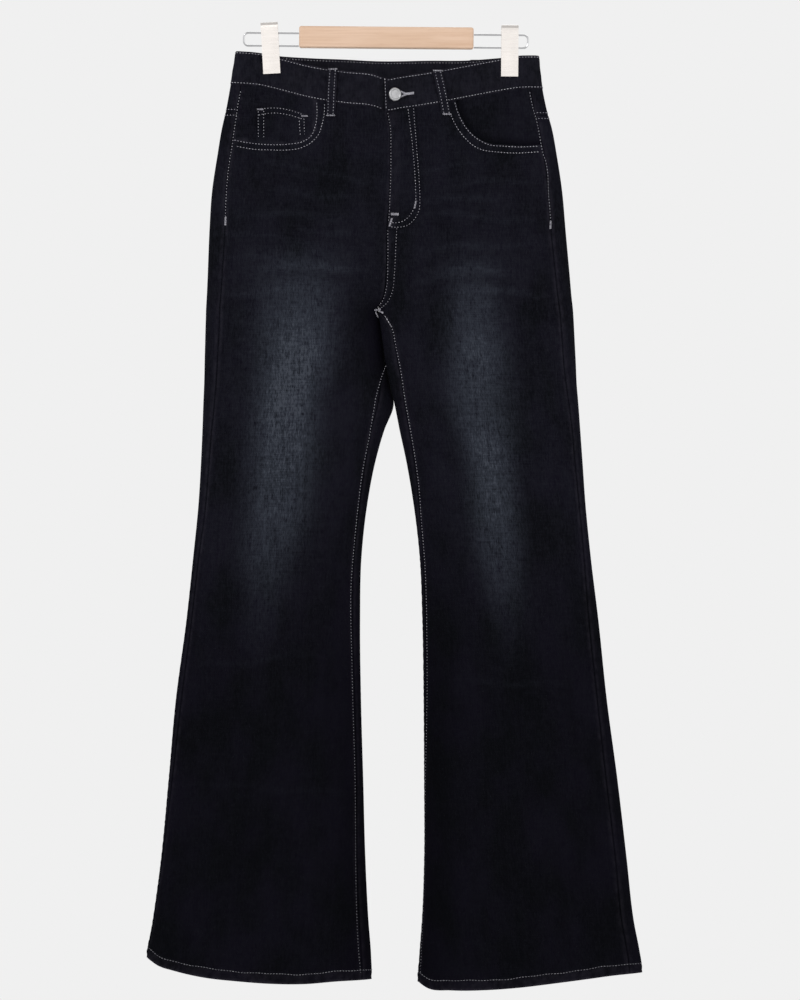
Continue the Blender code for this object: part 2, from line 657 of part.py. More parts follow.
def make_coin_pocket(denim):
    """Make the small pocket that lies on the right hip piece, down to the scoop."""
    top = table(COIN_TOP_COLUMNS, COIN_TOP)
    edge = scoop_curve("right")
    order = np.argsort(edge[:, 0])
    xs = np.linspace(top["x"][0], top["x"][-1], 7)
    upper = smooth(top["x"], top["drop"], xs)
    lower = np.interp(xs, edge[order, 0], edge[order, 1]) - COIN_BOTTOM_GAP
    part = np.linspace(0, 1, 5)[:, None]
    drop = upper + (lower - upper) * part
    s = s_from_x("right", "front", np.broadcast_to(xs, drop.shape), drop)
    base = facing_lift("right", np.broadcast_to(xs, drop.shape), drop) + LAY_GAP
    panel("coin_pocket", "right", s, drop, denim, base + PATCH, base)


def make_fly(denim):
    """Make the left fly's doubled front, from its folded edge to its J curve."""
    curve = table(FLY_COLUMNS, FLY_CURVE)
    below_band = sheared("left", 0.99, BAND_BOTTOM)
    straight = np.linspace(below_band, curve["drop"][FLY_CURVE_START], 7)
    rows, levels = [], []
    for k, drop in enumerate([*straight, *curve["drop"][FLY_CURVE_START + 1:]]):
        start = float(outline("left", np.array(True), drop)[1])
        end = float(smooth(curve["drop"], curve["x"], drop))
        xs = np.linspace(start, end, FLY_COLUMN_COUNT + 1)
        hung = np.full(xs.shape, drop)
        if k == 0:
            hung = waistline("front_seam", xs) + 2 * HALF_GAP
        rows.append(s_from_x("left", "front", xs, hung))
        levels.append(hung)
    s = np.minimum(np.array(rows), 0.999999)
    panel("fly", "left", s, np.array(levels), denim, LAY_GAP + PATCH, LAY_GAP)


def make_back_pocket(side, denim):
    """Make a plain pointed patch pocket on the back."""
    shape = table(BACK_POCKET_COLUMNS, BACK_POCKET)
    away = -1 if side == "right" else 1
    rows, levels = [], []
    for down in np.linspace(0, BACK_POCKET[-1][0], 6):
        ends = [smooth(shape["down"], shape[name], down) for name in BACK_POCKET_COLUMNS[1:]]
        part = np.linspace(0, 1, 9)
        xs = away * (ends[0] + (ends[1] - ends[0]) * part)
        point = BACK_POCKET_POINT * (1 - np.abs(2 * part - 1)) * down / BACK_POCKET[-1][0]
        drop = BACK_POCKET_TOP + down + point
        rows.append(s_from_x(side, "back", xs, drop))
        levels.append(drop)
    panel("back_pocket_" + side, side, np.array(rows), np.array(levels), denim,
          BACK_POCKET_GAP + PATCH, BACK_POCKET_GAP)


def make_belt_loop(name, denim):
    face, x_top, x_bottom, drop_top, drop_bottom = BELT_LOOPS[name]
    count = len(LOOP_STANDOFF)
    part = np.linspace(0, 1, count)
    outer, inner = [], []
    for t, standoff in zip(part, LOOP_STANDOFF):
        middle = x_top + (x_bottom - x_top) * t
        drop = drop_top + (drop_bottom - drop_top) * t
        inside, outside = [], []
        for x in (middle - LOOP_WIDTH / 2, middle, middle + LOOP_WIDTH / 2):
            side = "right" if x < 0 else "left"
            s = s_from_x(side, face, x, drop)
            inside.append(lifted(side, s, drop, standoff))
            outside.append(lifted(side, s, drop, standoff + LOOP_CLOTH))
        inner.append(inside)
        outer.append(outside)
    wall("belt_loop_" + name, np.array(outer), np.array(inner), denim)


def make_button(metal):
    """Turn the shank button and set it on the band, tilted as its thread lets it."""
    profile = ((0, 0), (3.4, 0), (3.4, 3.9), (6.6, 3.9), (BUTTON_RADIUS, 4.6),
               (BUTTON_RADIUS, 5.4), (6.9, 6.2), (5.6, 6.4), (5.0, 5.9), (0, 6.3))
    made_mesh = bmesh.new()
    verts = [made_mesh.verts.new((r * MM, 0, h * MM)) for r, h in profile]
    edges = [made_mesh.edges.new(pair) for pair in zip(verts, verts[1:])]
    bmesh.ops.spin(made_mesh, geom=verts + edges, cent=(0, 0, 0), axis=(0, 0, 1),
                   angle=2 * math.pi, steps=24)
    bmesh.ops.remove_doubles(made_mesh, verts=made_mesh.verts[:], dist=0.00001)
    bmesh.ops.recalc_face_normals(made_mesh, faces=made_mesh.faces[:])
    mesh = bpy.data.meshes.new("button")
    made_mesh.to_mesh(mesh)
    made_mesh.free()
    mesh.shade_smooth()
    mesh.set_sharp_from_angle(angle=math.radians(40))
    button = add_object("button", mesh, metal)
    s = s_from_x("left", "front", BUTTON_X, BUTTON_DROP)
    normal = Vector(outward("left", s, BUTTON_DROP))
    foot = Vector(lifted("left", s, BUTTON_DROP, BAND_OUT + 1.7)) * MM
    aim = normal.to_track_quat("Z", "Y").to_matrix()
    button.matrix_world = (Matrix.Translation(foot)
                           @ (Matrix.Rotation(BUTTON_TILT, 3, "Z") @ aim).to_4x4())


# ---------------------------------------------------------------- hanger
def hanger_frame():
    """Make the empty that carries the hanger; it tips a little to the left leg."""
    frame = bpy.data.objects.new("hanger", None)
    bpy.context.scene.collection.objects.link(frame)
    frame.rotation_euler = (0, HANGER_TILT, 0)
    return frame


def make_bar(frame, wood):
    made_mesh = bmesh.new()
    bmesh.ops.create_cube(made_mesh, size=1)
    bmesh.ops.scale(made_mesh, verts=made_mesh.verts[:],
                    vec=(BAR_LENGTH * MM, BAR_DEPTH * MM, BAR_HEIGHT * MM))
    mesh = bpy.data.meshes.new("hanger_bar")
    made_mesh.to_mesh(mesh)
    made_mesh.free()
    bar = add_object("hanger_bar", mesh, wood)
    bar.parent = frame
    bar.location = (0, 0, -BAR_HEIGHT / 2 * MM)
    rounding = bar.modifiers.new("rounding", "BEVEL")
    rounding.width = 2.4 * MM
    rounding.segments = 3


def make_wire(side, frame, steel):
    """Bend the steel loop that holds a clip: out of the bar's end, round and back."""
    way = -1 if side == "right" else 1
    start = way * (BAR_LENGTH / 2 + 0.35)
    end = WIRE_ENDS[side]
    top, bottom = -WIRE_LEVELS[0], -WIRE_LEVELS[1]
    route = [(start, top)]
    for k in range(7):
        turn = math.pi / 2 * k / 6
        route.append((end - way * WIRE_CORNER * (1 - math.sin(turn)),
                      top - WIRE_CORNER * (1 - math.cos(turn))))
    for k in range(7):
        turn = math.pi / 2 * k / 6
        route.append((end - way * WIRE_CORNER * (1 - math.cos(turn)),
                      bottom + WIRE_CORNER * (1 - math.sin(turn))))
    route.append((start, bottom))
    line = bpy.data.curves.new("hanger_wire_" + side, "CURVE")
    line.dimensions = "3D"
    line.bevel_depth = WIRE_RADIUS * MM
    line.bevel_resolution = 2
    line.use_fill_caps = True
    spline = line.splines.new("POLY")
    spline.points.add(len(route) - 1)
    for point, (x, z) in zip(spline.points, route):
        point.co = (x * MM, 0, z * MM, 1)
    wire = bpy.data.objects.new("hanger_wire_" + side, line)
    bpy.context.scene.collection.objects.link(wire)
    line.materials.append(steel)
    wire.parent = frame


def make_clip(side, metal):
    """Fold the clip's strap over the wires, with both jaws on the cloth."""
    clip = dict(zip(CLIP_COLUMNS, CLIPS[side]))
    radius = CLIP_WIRE_GAP
    down = ((CLIP_LENGTH, CLIP_WAIST_GAP), (CLIP_LENGTH - CLIP_JAW, CLIP_WAIST_GAP),
            (CLIP_LENGTH - CLIP_NECK, radius - 0.3), (radius + CLIP_METAL, radius))
    half = [(gap, -length) for length, gap in down]
    arc = [(radius * math.cos(turn), -(radius + CLIP_METAL) + radius * math.sin(turn))
           for turn in np.linspace(0, math.pi, 9)[1:-1]]
    inside = half + arc + [(-gap, z) for gap, z in reversed(half)]
    centre = (0, -(radius + CLIP_METAL))
    outside = []
    for y, z in inside:
        if z > centre[1]:
            grow = (radius + CLIP_METAL) / radius
            outside.append((y * grow, centre[1] + (z - centre[1]) * grow))
        else:
            outside.append((y + math.copysign(CLIP_METAL, y), z))
    across = (-CLIP_WIDTH / 2, CLIP_WIDTH / 2)
    turn = Matrix.Rotation(-math.radians(clip["lean"]), 3, "Y")
    middle = Vector((clip["x"], 0, -clip["top"]))
    pivot = Vector((0, 0, -CLIP_LENGTH / 2))

    def put(profile):
        return np.array([[np.array(turn @ (Vector((w, y, z)) - pivot) + pivot + middle)
                          for w in across] for y, z in profile])
    wall("hanger_clip_" + side, put(outside), put(inside), metal)


def main():
    for thing in list(bpy.data.objects):
        bpy.data.objects.remove(thing, do_unlink=True)
    denim = material("denim", (0.011, 0.012, 0.018), 0.85)
    silver = material("button_metal", (0.38, 0.38, 0.39), 0.35, 1.0)
    wood = material("bar_wood", (0.74, 0.55, 0.39), 0.55)
    champagne = material("clip_metal", (0.86, 0.82, 0.76), 0.3, 1.0)
    steel = material("wire_steel", (0.72, 0.72, 0.72), 0.25, 1.0)
    for side in ("right", "left"):
        make_front(side, denim)
        make_back(side, denim)
        make_yoke(side, denim)
        make_facing(side, denim)
        make_back_pocket(side, denim)
    make_waistband(denim)
    make_coin_pocket(denim)
    make_fly(denim)
    for name in BELT_LOOPS:
        make_belt_loop(name, denim)
    make_button(silver)
    frame = hanger_frame()
    make_bar(frame, wood)
    for side in ("right", "left"):
        make_wire(side, frame, steel)
        make_clip(side, champagne)


main()
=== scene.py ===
"""Looks of the bootcut jeans on their clip hanger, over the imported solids.

Metres, +Z up; the front faces -Y. Tables and sizes are in millimetres, and "drop" is a
distance below the origin, which is the middle of the hanger bar's top.

Each half of the jeans is one flattened tube. A place on it is (side, s, drop): s runs
from 0 at the outer fold over the front to 1 at the centre or the inner fold, and on
over the back to 2. The shells, patches, bands and threads all lie on that surface.
"""
import math

import bpy
import numpy as np
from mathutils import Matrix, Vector
from mathutils.kdtree import KDTree


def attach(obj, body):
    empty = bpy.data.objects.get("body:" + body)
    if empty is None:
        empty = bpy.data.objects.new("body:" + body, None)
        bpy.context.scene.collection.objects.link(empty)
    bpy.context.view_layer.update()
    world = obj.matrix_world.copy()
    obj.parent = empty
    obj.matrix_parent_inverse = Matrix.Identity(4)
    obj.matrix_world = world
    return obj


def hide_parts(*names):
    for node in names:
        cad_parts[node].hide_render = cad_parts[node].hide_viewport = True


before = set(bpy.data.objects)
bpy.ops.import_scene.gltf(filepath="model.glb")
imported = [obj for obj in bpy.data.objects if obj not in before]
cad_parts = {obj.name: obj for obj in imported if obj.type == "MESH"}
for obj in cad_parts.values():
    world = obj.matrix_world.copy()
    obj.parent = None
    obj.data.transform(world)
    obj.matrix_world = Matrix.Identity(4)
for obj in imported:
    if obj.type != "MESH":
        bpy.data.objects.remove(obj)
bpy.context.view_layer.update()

MM = 0.001
SIDES = ("right", "left")
AWAY = {"right": -1, "left": 1}  # sign of x from the middle to a leg's outer fold

# ---------------------------------------------------------------- driving sizes, mm
CLOTH = 1.5                  # wall of a single layer of denim
BAND_OUT = 0.45              # the folded waistband stands this far out of the panels
BAND_IN = 1.95               # and reaches this far in
HEM_OUT = 0.35               # extra thickness of the turned hem, outside
HEM_IN = 0.75                # and inside
HEM_WIDTH = 12.0
HALF_GAP = 0.22              # half of the gap left between sewn pieces
LAY_GAP = 0.35               # gap under a piece that lies on a panel
PATCH = 1.1                  # wall of a patch that lies on a panel
BAND_TOP = 28.0              # levels of the waistband's edges at the right side fold
BAND_BOTTOM = 66.0
DROOP_END = 236.0            # below this level the waist's droop has faded out
CROTCH = 322.0
YOKE_SIDE = 97.0             # level of the yoke seam at the side
YOKE_CENTRE = 130.0          # and at the centre back
YOKE_END = 300.0             # below this level the yoke's slope has faded out
HEM = 1090.0
HEM_START = 780.0            # the hem's curve fades in from this level
LENS_POWER = 3.2             # how square the flattened tube's section is
FOLD_RADIUS = 5.0            # side fold at the waist
WAIST_END = 230.0            # the clamped waist has become the full tube here
SEAT_RISE = 150.0            # height over which the crotch opens to the full depth
SEAM_SHUT = 0.9              # share of the seams' gap that is closed at the crotch
TUCK = 0.3                   # a panel's top edge runs this far up into the waistband's fold
OVERLAP_X = -2.5             # free end of the waistband's upper end
UNDERLAP_X = 8.0             # free end of the lower one, under it
DIP_START_X = -24.0          # the lower end begins to sink in here
DIP_RUN = 14.0               # and lies at its full depth this much further on

# Outline seen from the front (x), each seam's distance in from its edge, and the half
# depth of the front and back of the tube.
SECTION_COLUMNS = ("drop", "right_outer", "right_outseam", "right_inseam", "right_inner",
                   "left_inner", "left_inseam", "left_outseam", "left_outer",
                   "front", "back")
SECTIONS = (
    (28, -170.0, 11.0, 0.0, 0.5, 0.5, 0.0, 13.0, 171.5, 20, 22),
    (65, -176.0, 12.0, 0.0, 0.5, 0.5, 0.0, 13.5, 175.5, 20, 22),
    (95, -181.5, 13.0, 0.0, 0.8, 0.8, 0.0, 15.0, 181.5, 20, 22),
    (115, -186.0, 14.0, 0.0, 4.2, 4.2, 0.0, 15.0, 187.0, 20, 23),
    (145, -191.0, 15.0, 0.0, 4.8, 4.8, 0.0, 15.0, 192.5, 20, 23),
    (185, -197.0, 16.5, 0.0, 4.2, 4.2, 0.0, 16.0, 198.5, 22, 24),
    (230, -200.0, 18.0, 0.0, 0.8, 0.8, 0.0, 17.0, 202.5, 23, 25),
    (280, -202.0, 17.0, 0.0, -0.2, -0.2, 0.0, 16.5, 207.0, 24, 26),
    (303, -203.0, 16.5, 0.0, -2.8, -2.8, 0.0, 16.0, 209.0, 24, 27),
    (322, -204.0, 16.0, 0.0, -9.0, -9.0, 0.0, 15.5, 211.0, 24, 28),
    (330, -204.2, 16.0, 0.2, -7.2, -8.4, 8.0, 15.2, 211.5, 24, 28),
    (340, -204.5, 16.0, 0.3, -5.0, -6.8, 12.0, 15.0, 212.0, 24, 28),
    (360, -205.0, 15.5, 0.5, -2.2, -4.0, 13.5, 14.5, 213.0, 24, 27),
    (380, -205.5, 15.0, 1.5, 0.4, -1.2, 14.0, 14.0, 214.0, 23, 26),
    (403, -206.0, 14.0, 10.5, 4.6, 3.6, 13.5, 12.5, 215.0, 22, 24),
    (427, -207.0, 13.0, 18.0, 8.4, 9.0, 11.5, 11.0, 217.0, 22, 22),
    (455, -208.0, 11.0, 15.0, -2.0, 14.5, 10.5, 9.5, 219.0, 21, 21),
    (490, -209.5, 9.5, 11.0, -12.0, 22.0, 9.0, 9.0, 221.5, 19, 19),
    (540, -212.5, 8.5, 8.5, -21.5, 30.5, 6.0, 7.5, 225.0, 17, 17),
    (600, -218.5, 6.5, 8.5, -28.0, 37.5, 3.5, 8.0, 231.0, 15, 15),
    (670, -226.0, 6.0, 8.5, -29.5, 40.5, 3.0, 11.0, 239.5, 13, 14),
    (760, -238.0, 6.5, 7.0, -28.5, 42.0, 2.0, 11.0, 249.0, 13, 14),
    (850, -246.0, 4.0, 7.5, -26.0, 42.5, 0.8, 13.0, 261.0, 14, 15),
    (940, -254.5, 1.5, 9.5, -23.5, 42.5, 0.5, 13.0, 271.5, 15, 16),
    (1010, -264.0, 1.0, 10.5, -20.0, 40.0, 0.8, 14.0, 279.5, 16, 16),
    (1050, -270.5, 1.0, 11.0, -17.0, 37.0, 1.2, 14.5, 287.0, 17, 16),
    (1090, -269.0, 1.0, 10.0, -17.0, 34.5, 1.5, 14.5, 290.5, 17, 16),
)

# The waist at the waistband's lower edge: half depths, and that edge's drop.
WAIST_COLUMNS = ("x", "front", "back", "front_seam", "back_seam")
WAIST = (
    (-170, 5.0, 5.0, 65.5, 65.5),
    (-143, 2.7, 2.7, 67.5, 68.5),
    (-119, 2.7, 2.7, 73.0, 71.0),
    (-83, 9.5, 5.0, 82.5, 73.0),
    (-45, 16.5, 8.0, 89.0, 74.2),
    (-12, 19.2, 9.3, 93.2, 75.8),
    (0, 19.5, 9.5, 97.6, 76.0),
    (14, 19.2, 9.4, 95.4, 75.9),
    (45, 17.0, 8.0, 90.5, 75.4),
    (90, 9.5, 5.0, 81.5, 75.5),
    (127, 2.7, 2.7, 74.0, 73.0),
    (151, 2.7, 2.7, 70.5, 71.0),
    (168, 5.0, 5.0, 70.5, 70.5),
)

# The hems' drop, across each leg from its outer fold (0) to its inner fold (1).
HEM_COLUMNS = ("across", "right", "left")
HEMS = (
    (0.00, 1051.0, 1068.0),
    (0.05, 1059.5, 1068.8),
    (0.12, 1065.0, 1070.2),
    (0.25, 1072.3, 1074.3),
    (0.40, 1076.6, 1079.2),
    (0.55, 1079.4, 1083.8),
    (0.70, 1079.8, 1086.6),
    (0.85, 1077.0, 1087.1),
    (0.96, 1075.9, 1084.5),
    (1.00, 1075.5, 1078.0),
)
BACK_HEM_DROOP = 0.7         # the back hems droop less than the front ones

# How far each inner fold leans back (+) or forward (-) where the thighs touch.
LEAN_COLUMNS = ("drop", "right", "left")
LEANS = (
    (305, 0.0, 0.0),
    (322, 2.5, -1.5),
    (340, 7.0, -4.0),
    (365, 8.5, -4.5),
    (403, 7.0, -4.0),
    (427, 4.0, -2.0),
    (500, 0.0, 0.0),
)

# The largest soft troughs: face, middle, direction (0 is level), and sizes.
FOLD_COLUMNS = ("face", "x", "drop", "angle", "length", "width", "depth")
FOLDS = (
    ("front", -24, 338, 75, 75, 11, 5.0),
    ("front", -112, 238, 14, 60, 12, 1.6),
    ("front", 118, 240, -12, 62, 12, 1.6),
    ("front", -60, 292, 32, 62, 11, 2.2),
    ("front", 58, 296, -34, 64, 11, 2.2),
    ("front", -150, 452, 70, 90, 14, 1.6),
    ("front", 128, 880, -62, 120, 16, 1.8),
    ("front", -118, 830, 66, 130, 17, 1.8),
    ("back", -88, 352, 28, 78, 12, 3.0),
    ("back", 92, 350, -26, 80, 12, 3.0),
    ("back", -104, 386, 18, 70, 11, 2.4),
    ("back", 108, 390, -20, 66, 11, 2.4),
    ("back", -128, 588, 12, 62, 12, 1.8),
    ("back", 140, 600, -10, 64, 12, 1.8),
)
# Finer creases of the shells alone, in the same columns.
CREASES = (
    ("front", -96, 196, 4, 70, 5, 0.7), ("front", -60, 218, -3, 60, 6, 0.8),
    ("front", -120, 232, 6, 55, 5, 0.6), ("front", -40, 250, 14, 50, 7, 0.9),
    ("front", 96, 190, -5, 64, 5, 0.7), ("front", 60, 214, 8, 60, 6, 0.8),
    ("front", 124, 226, -4, 55, 5, 0.6), ("front", 44, 254, -18, 44, 7, 0.9),
    ("front", -30, 300, 48, 46, 6, 1.1), ("front", 22, 306, -46, 48, 6, 1.1),
    ("front", -70, 330, 60, 60, 9, 0.9), ("front", 70, 336, -58, 60, 9, 0.9),
    ("front", -176, 250, 80, 80, 8, 0.8), ("front", 180, 262, -80, 80, 8, 0.8),
    ("front", -150, 640, 22, 60, 9, 0.9), ("front", 160, 655, -18, 60, 9, 0.9),
    ("front", -80, 700, -12, 44, 8, 0.7), ("front", 104, 742, 3, 62, 5, 0.9),
    ("front", -180, 985, 98, 100, 13, 1.4), ("front", -96, 1010, 88, 90, 15, 1.2),
    ("front", 110, 1000, 86, 100, 14, 1.3), ("front", 196, 980, 78, 110, 13, 1.4),
    ("back", -60, 300, 36, 54, 8, 1.4), ("back", 58, 304, -34, 56, 8, 1.4),
    ("back", -120, 330, 22, 60, 8, 1.2), ("back", 124, 326, -20, 60, 8, 1.2),
    ("back", -130, 560, 14, 50, 8, 1.2), ("back", -110, 612, 8, 56, 9, 1.4),
    ("back", 138, 566, -12, 50, 8, 1.2), ("back", 126, 622, -8, 56, 9, 1.4),
    ("back", -150, 650, -10, 44, 7, 0.8), ("back", 160, 660, 9, 44, 7, 0.8),
    ("back", -160, 1000, 94, 100, 14, 1.4), ("back", 180, 990, 80, 100, 14, 1.4),
)
FOLD_END = 1.6               # how soon a fold fades out along its length

# Edges of the scoop pockets' openings (x, drop), from the waistband to the outseam.
SCOOPS = {
    "right": ((-80, 82), (-79.5, 97), (-80.5, 110), (-84, 122.5), (-93, 129),
              (-110, 132), (-128, 132.7), (-150, 131), (-178, 127)),
    "left": ((77.5, 82), (81, 96), (87, 108), (97, 121.5), (107.5, 129),
             (118, 132.7), (133, 133.6), (152, 135), (182, 133)),
}
SCOOP_MARGIN = 12.0          # the facing runs this far under the front
FACING_BOTTOM = 147.0
FACING_ROWS = 30
FACING_COLUMNS = 34
SCOOP_SHADOW = {"right": 1.35, "left": 0.9}      # how dark it is under the scoop's edge
SHADOW_WIDTH = 8.5
FACING_INSET = 2.0           # how deep the facing lies under the scoop's edge
FACING_RISE = 14.0           # and over what distance it comes up to the panels' level

CUTTER_REACH = 230.0         # the block that cuts the scoop ends past the outer fold,
CUTTER_TOP = 40.0            # above the front's top edge,
CUTTER_FRONT = -60.0         # in front of the cloth
CUTTER_REAR = 1.0            # and between the front and the back

COIN_TOP_COLUMNS = ("x", "drop")
COIN_TOP = ((-146, 92.5), (-127, 90.5), (-110, 92.8), (-90.5, 99.0))
COIN_SIZE = (55, 36)         # its rough width and height
COIN_BOTTOM_GAP = 0.8        # the coin pocket ends this far above the scoop's edge

FLY_COLUMNS = ("drop", "x")  # the J curve's edge
FLY_CURVE = ((90, 31.5), (141, 35.6), (185, 38.8), (200, 39.0), (210, 37.3),
             (219, 32.5), (225, 26.0), (228.5, 19.0), (230, 10.0))

BACK_POCKET_COLUMNS = ("down", "near_centre", "near_side")
BACK_POCKET = ((0, 31, 161), (45, 33, 159), (90, 35, 157), (124, 37, 155))
BACK_POCKET_TOP = 150.0
BACK_POCKET_SIZE = (124, 130)
BACK_POCKET_GAP = 0.5        # gap between it and the back
BACK_POCKET_POINT = 17.0     # the point hangs this far below the lower corners

# name: face, x at the top and bottom, drop at the top and bottom
BELT_LOOPS = {
    "front_right": ("front", -59.7, -62.7, 47.5, 103.0),
    "front_left": ("front", 56.7, 68.0, 49.5, 101.5),
    "back_right": ("back", -96.0, -96.0, 35.0, 91.5),
    "back_centre": ("back", 0.0, 0.0, 38.5, 95.5),
    "back_left": ("back", 100.0, 100.0, 36.5, 92.5),
}
LOOP_WIDTH = 10.5
LOOP_CLOTH = 1.6
LOOP_STANDOFF = (0.85, 2.3, 2.9, 2.9, 2.3, 1.3, 0.6)     # from its top to its bottom
FINE = 360                   # samples used to space a row's columns
TURN_WEIGHT = 16.0           # mm of cloth that one radian of bend counts for

# ---------------------------------------------------------------- tables
def table(columns, rows):
    """Turn rows into one array for each named column."""
    return {name: np.array([row[i] for row in rows]) for i, name in enumerate(columns)}


def smooth(xs, ys, x):
    """Read a smooth curve through the knots (xs, ys); it is level outside them."""
    xs = np.asarray(xs, float)
    ys = np.asarray(ys, float)
    slopes = np.gradient(ys, xs)
    x = np.clip(x, xs[0], xs[-1])
    k = np.clip(np.searchsorted(xs, x, side="right") - 1, 0, len(xs) - 2)
    step = xs[k + 1] - xs[k]
    t = (x - xs[k]) / step
    rise = ys[k] * (2 * t**3 - 3 * t**2 + 1) + ys[k + 1] * (3 * t**2 - 2 * t**3)
    lean = slopes[k] * (t**3 - 2 * t**2 + t) + slopes[k + 1] * (t**3 - t**2)
    return rise + lean * step


def ease(t):
    """Go from 0 to 1 with level ends."""
    t = np.clip(t, 0.0, 1.0)
    return t * t * (3 - 2 * t)


def bell(distance, width):
    """Give 1 at no distance and a soft fall to 0 on both sides."""
    return np.exp(-(distance / width)**2)


def rounded(gap, width):
    """Give the height of a quarter circle at a gap from its edge, and 1 past its width."""
    return np.sqrt(1 - np.clip(1 - gap / width, 0, 1)**2)


def lengths(points):
    """Give the length of a line of points up to each of them."""
    return np.concatenate([[0], np.cumsum(np.linalg.norm(np.diff(points, axis=0), axis=1))])


def read_at(where, at, points):
    """Read each coordinate of a line of points at some of its lengths."""
    return np.stack([np.interp(where, at, column) for column in points.T], axis=1)


def turned(mark, x, drop):
    """Give places along and across a mark that lies at an angle."""
    turn = math.radians(mark["angle"])
    right, down = x - mark["x"], drop - mark["drop"]
    return (right * math.cos(turn) + down * math.sin(turn),
            down * math.cos(turn) - right * math.sin(turn))


SECTION = table(SECTION_COLUMNS, SECTIONS)
WAISTLINE = table(WAIST_COLUMNS, WAIST)
HEMLINE = table(HEM_COLUMNS, HEMS)
LEAN = table(LEAN_COLUMNS, LEANS)


def section(name, drop):
    return smooth(SECTION["drop"], SECTION[name], drop)


def waistline(name, x):
    return smooth(WAISTLINE["x"], WAISTLINE[name], x)


# ---------------------------------------------------------------- the surface
def outline(side, on_front, drop):
    """Give x of the outer fold and of the centre or inner fold."""
    outer = section(side + "_outer", drop)
    inner = section(side + "_inner", drop)
    crotch_x = section("right_inner", CROTCH)
    down = np.clip((drop - BAND_BOTTOM) / (CROTCH - BAND_BOTTOM), 0, 1)
    back_centre = crotch_x * down**2
    inner = np.where(on_front | (drop >= CROTCH), inner, back_centre)
    shut = SEAM_SHUT * ease((drop - CROTCH + 26) / 16) * ease((CROTCH + 18 - drop) / 16)
    return outer, inner + AWAY[side] * HALF_GAP * (1 - shut)


def place(s):
    """Say whether s is on the front, and how far across the half it is."""
    s = np.mod(s, 2.0)
    on_front = s < 1.0
    turn = np.where(on_front, s, 2.0 - s)
    return on_front, (1 - np.cos(math.pi * turn)) / 2


def trough(face_is_front, x, drop):
    """Give how far the soft folds press this place in."""
    depth = np.zeros(np.broadcast(x, drop).shape)
    low, high = np.min(drop), np.max(drop)
    for row in FOLDS + CREASES:
        fold = dict(zip(FOLD_COLUMNS, row))
        reach = fold["length"] + 3 * fold["width"]
        if fold["drop"] + reach < low or fold["drop"] - reach > high:
            continue
        along, across = turned(fold, x, drop)
        shape = bell(across, fold["width"])
        shape = shape * np.exp(-(along / fold["length"] * FOLD_END)**4)
        here = face_is_front == (fold["face"] == "front")
        depth += np.where(here, fold["depth"] * shape, 0.0)
    return depth


def tube(side, s, drop):
    """Give the points of the outer surface, in millimetres."""
    s, drop = np.broadcast_arrays(np.asarray(s, float), np.asarray(drop, float))
    on_front, across = place(s)
    outer, inner = outline(side, on_front, drop)
    x = outer + (inner - outer) * across
    full = np.where(on_front, section("front", drop), section("back", drop))
    risen = np.clip((CROTCH - drop) / SEAT_RISE, 0, 1)
    closing = np.where(across > 0.5, (1 - risen)**2, 1.0)
    edge = np.abs(2 * across - 1)**LENS_POWER
    lens = full * np.sqrt(np.maximum(1 - closing * edge, 0))
    flat = np.where(on_front, waistline("front", x), waistline("back", x))
    from_fold = np.clip(np.abs(x - outer) / FOLD_RADIUS, 0, 1)
    clamped = flat * np.sqrt(np.maximum(1 - (1 - from_fold)**2, 0))
    half = clamped + (lens - clamped) * ease((drop - BAND_BOTTOM) / (WAIST_END - BAND_BOTTOM))
    half = half - trough(on_front, x, drop) * (1 - edge) * (lens / full)
    lean = smooth(LEAN["drop"], LEAN[side], drop) * ease((across - 0.6) / 0.4)
    y = np.where(on_front, -half, half) + lean
    return np.stack([x, y, -drop], axis=-1)


def outward(side, s, drop):
    """Give the surface's unit normals, pointing out of the garment."""
    s, drop = np.broadcast_arrays(np.asarray(s, float), np.asarray(drop, float))
    small_s, small_drop = 0.002, 0.2
    seat = drop < CROTCH
    turn = np.mod(s, 2.0)
    ahead = np.where(seat & (turn < 1), np.minimum(small_s, 0.999999 - turn), small_s)
    behind = np.where(seat & (turn >= 1), np.minimum(small_s, turn - 1), small_s)
    below = np.where(seat, np.minimum(small_drop, CROTCH - 0.001 - drop), small_drop)
    above = np.where(seat, small_drop, np.minimum(small_drop, drop - CROTCH))
    along = tube(side, s + ahead, drop) - tube(side, s - behind, drop)
    down = tube(side, s, drop + below) - tube(side, s, drop - above)
    normal = np.cross(along, down)
    normal /= np.linalg.norm(normal, axis=-1, keepdims=True)
    return -normal if side == "right" else normal


def lifted(side, s, drop, lift):
    """Give points moved out of the surface by lift millimetres."""
    points = tube(side, s, drop)
    lift = np.broadcast_to(lift, points.shape[:-1])
    return points + outward(side, s, drop) * lift[..., None]


# ---------------------------------------------------------------- levels and seams
def sheared(side, s, level):
    """Turn a level of the pattern into the drop at which it hangs at s."""
    on_front, across = place(s)
    outer, inner = outline(side, on_front, np.asarray(level, float))
    x = outer + (inner - outer) * across
    seam = np.where(on_front, waistline("front_seam", x), waistline("back_seam", x))
    droop = np.clip((DROOP_END - level) / (DROOP_END - BAND_BOTTOM), 0, 1)**1.5
    curve = smooth(HEMLINE["across"], HEMLINE[side], across)
    chord = HEMLINE[side][0] + (HEMLINE[side][-1] - HEMLINE[side][0]) * across
    curve = np.where(on_front, curve, chord + (curve - chord) * BACK_HEM_DROOP)
    hung = ease((np.asarray(level, float) - HEM_START) / (HEM - HEM_START))
    return level + (seam - BAND_BOTTOM) * droop + (curve - HEM) * hung


def yoke_level(s):
    """Give the level of the yoke seam at s."""
    on_front, across = place(s)
    return YOKE_SIDE + (YOKE_CENTRE - YOKE_SIDE) * np.where(on_front, 0.0, across)


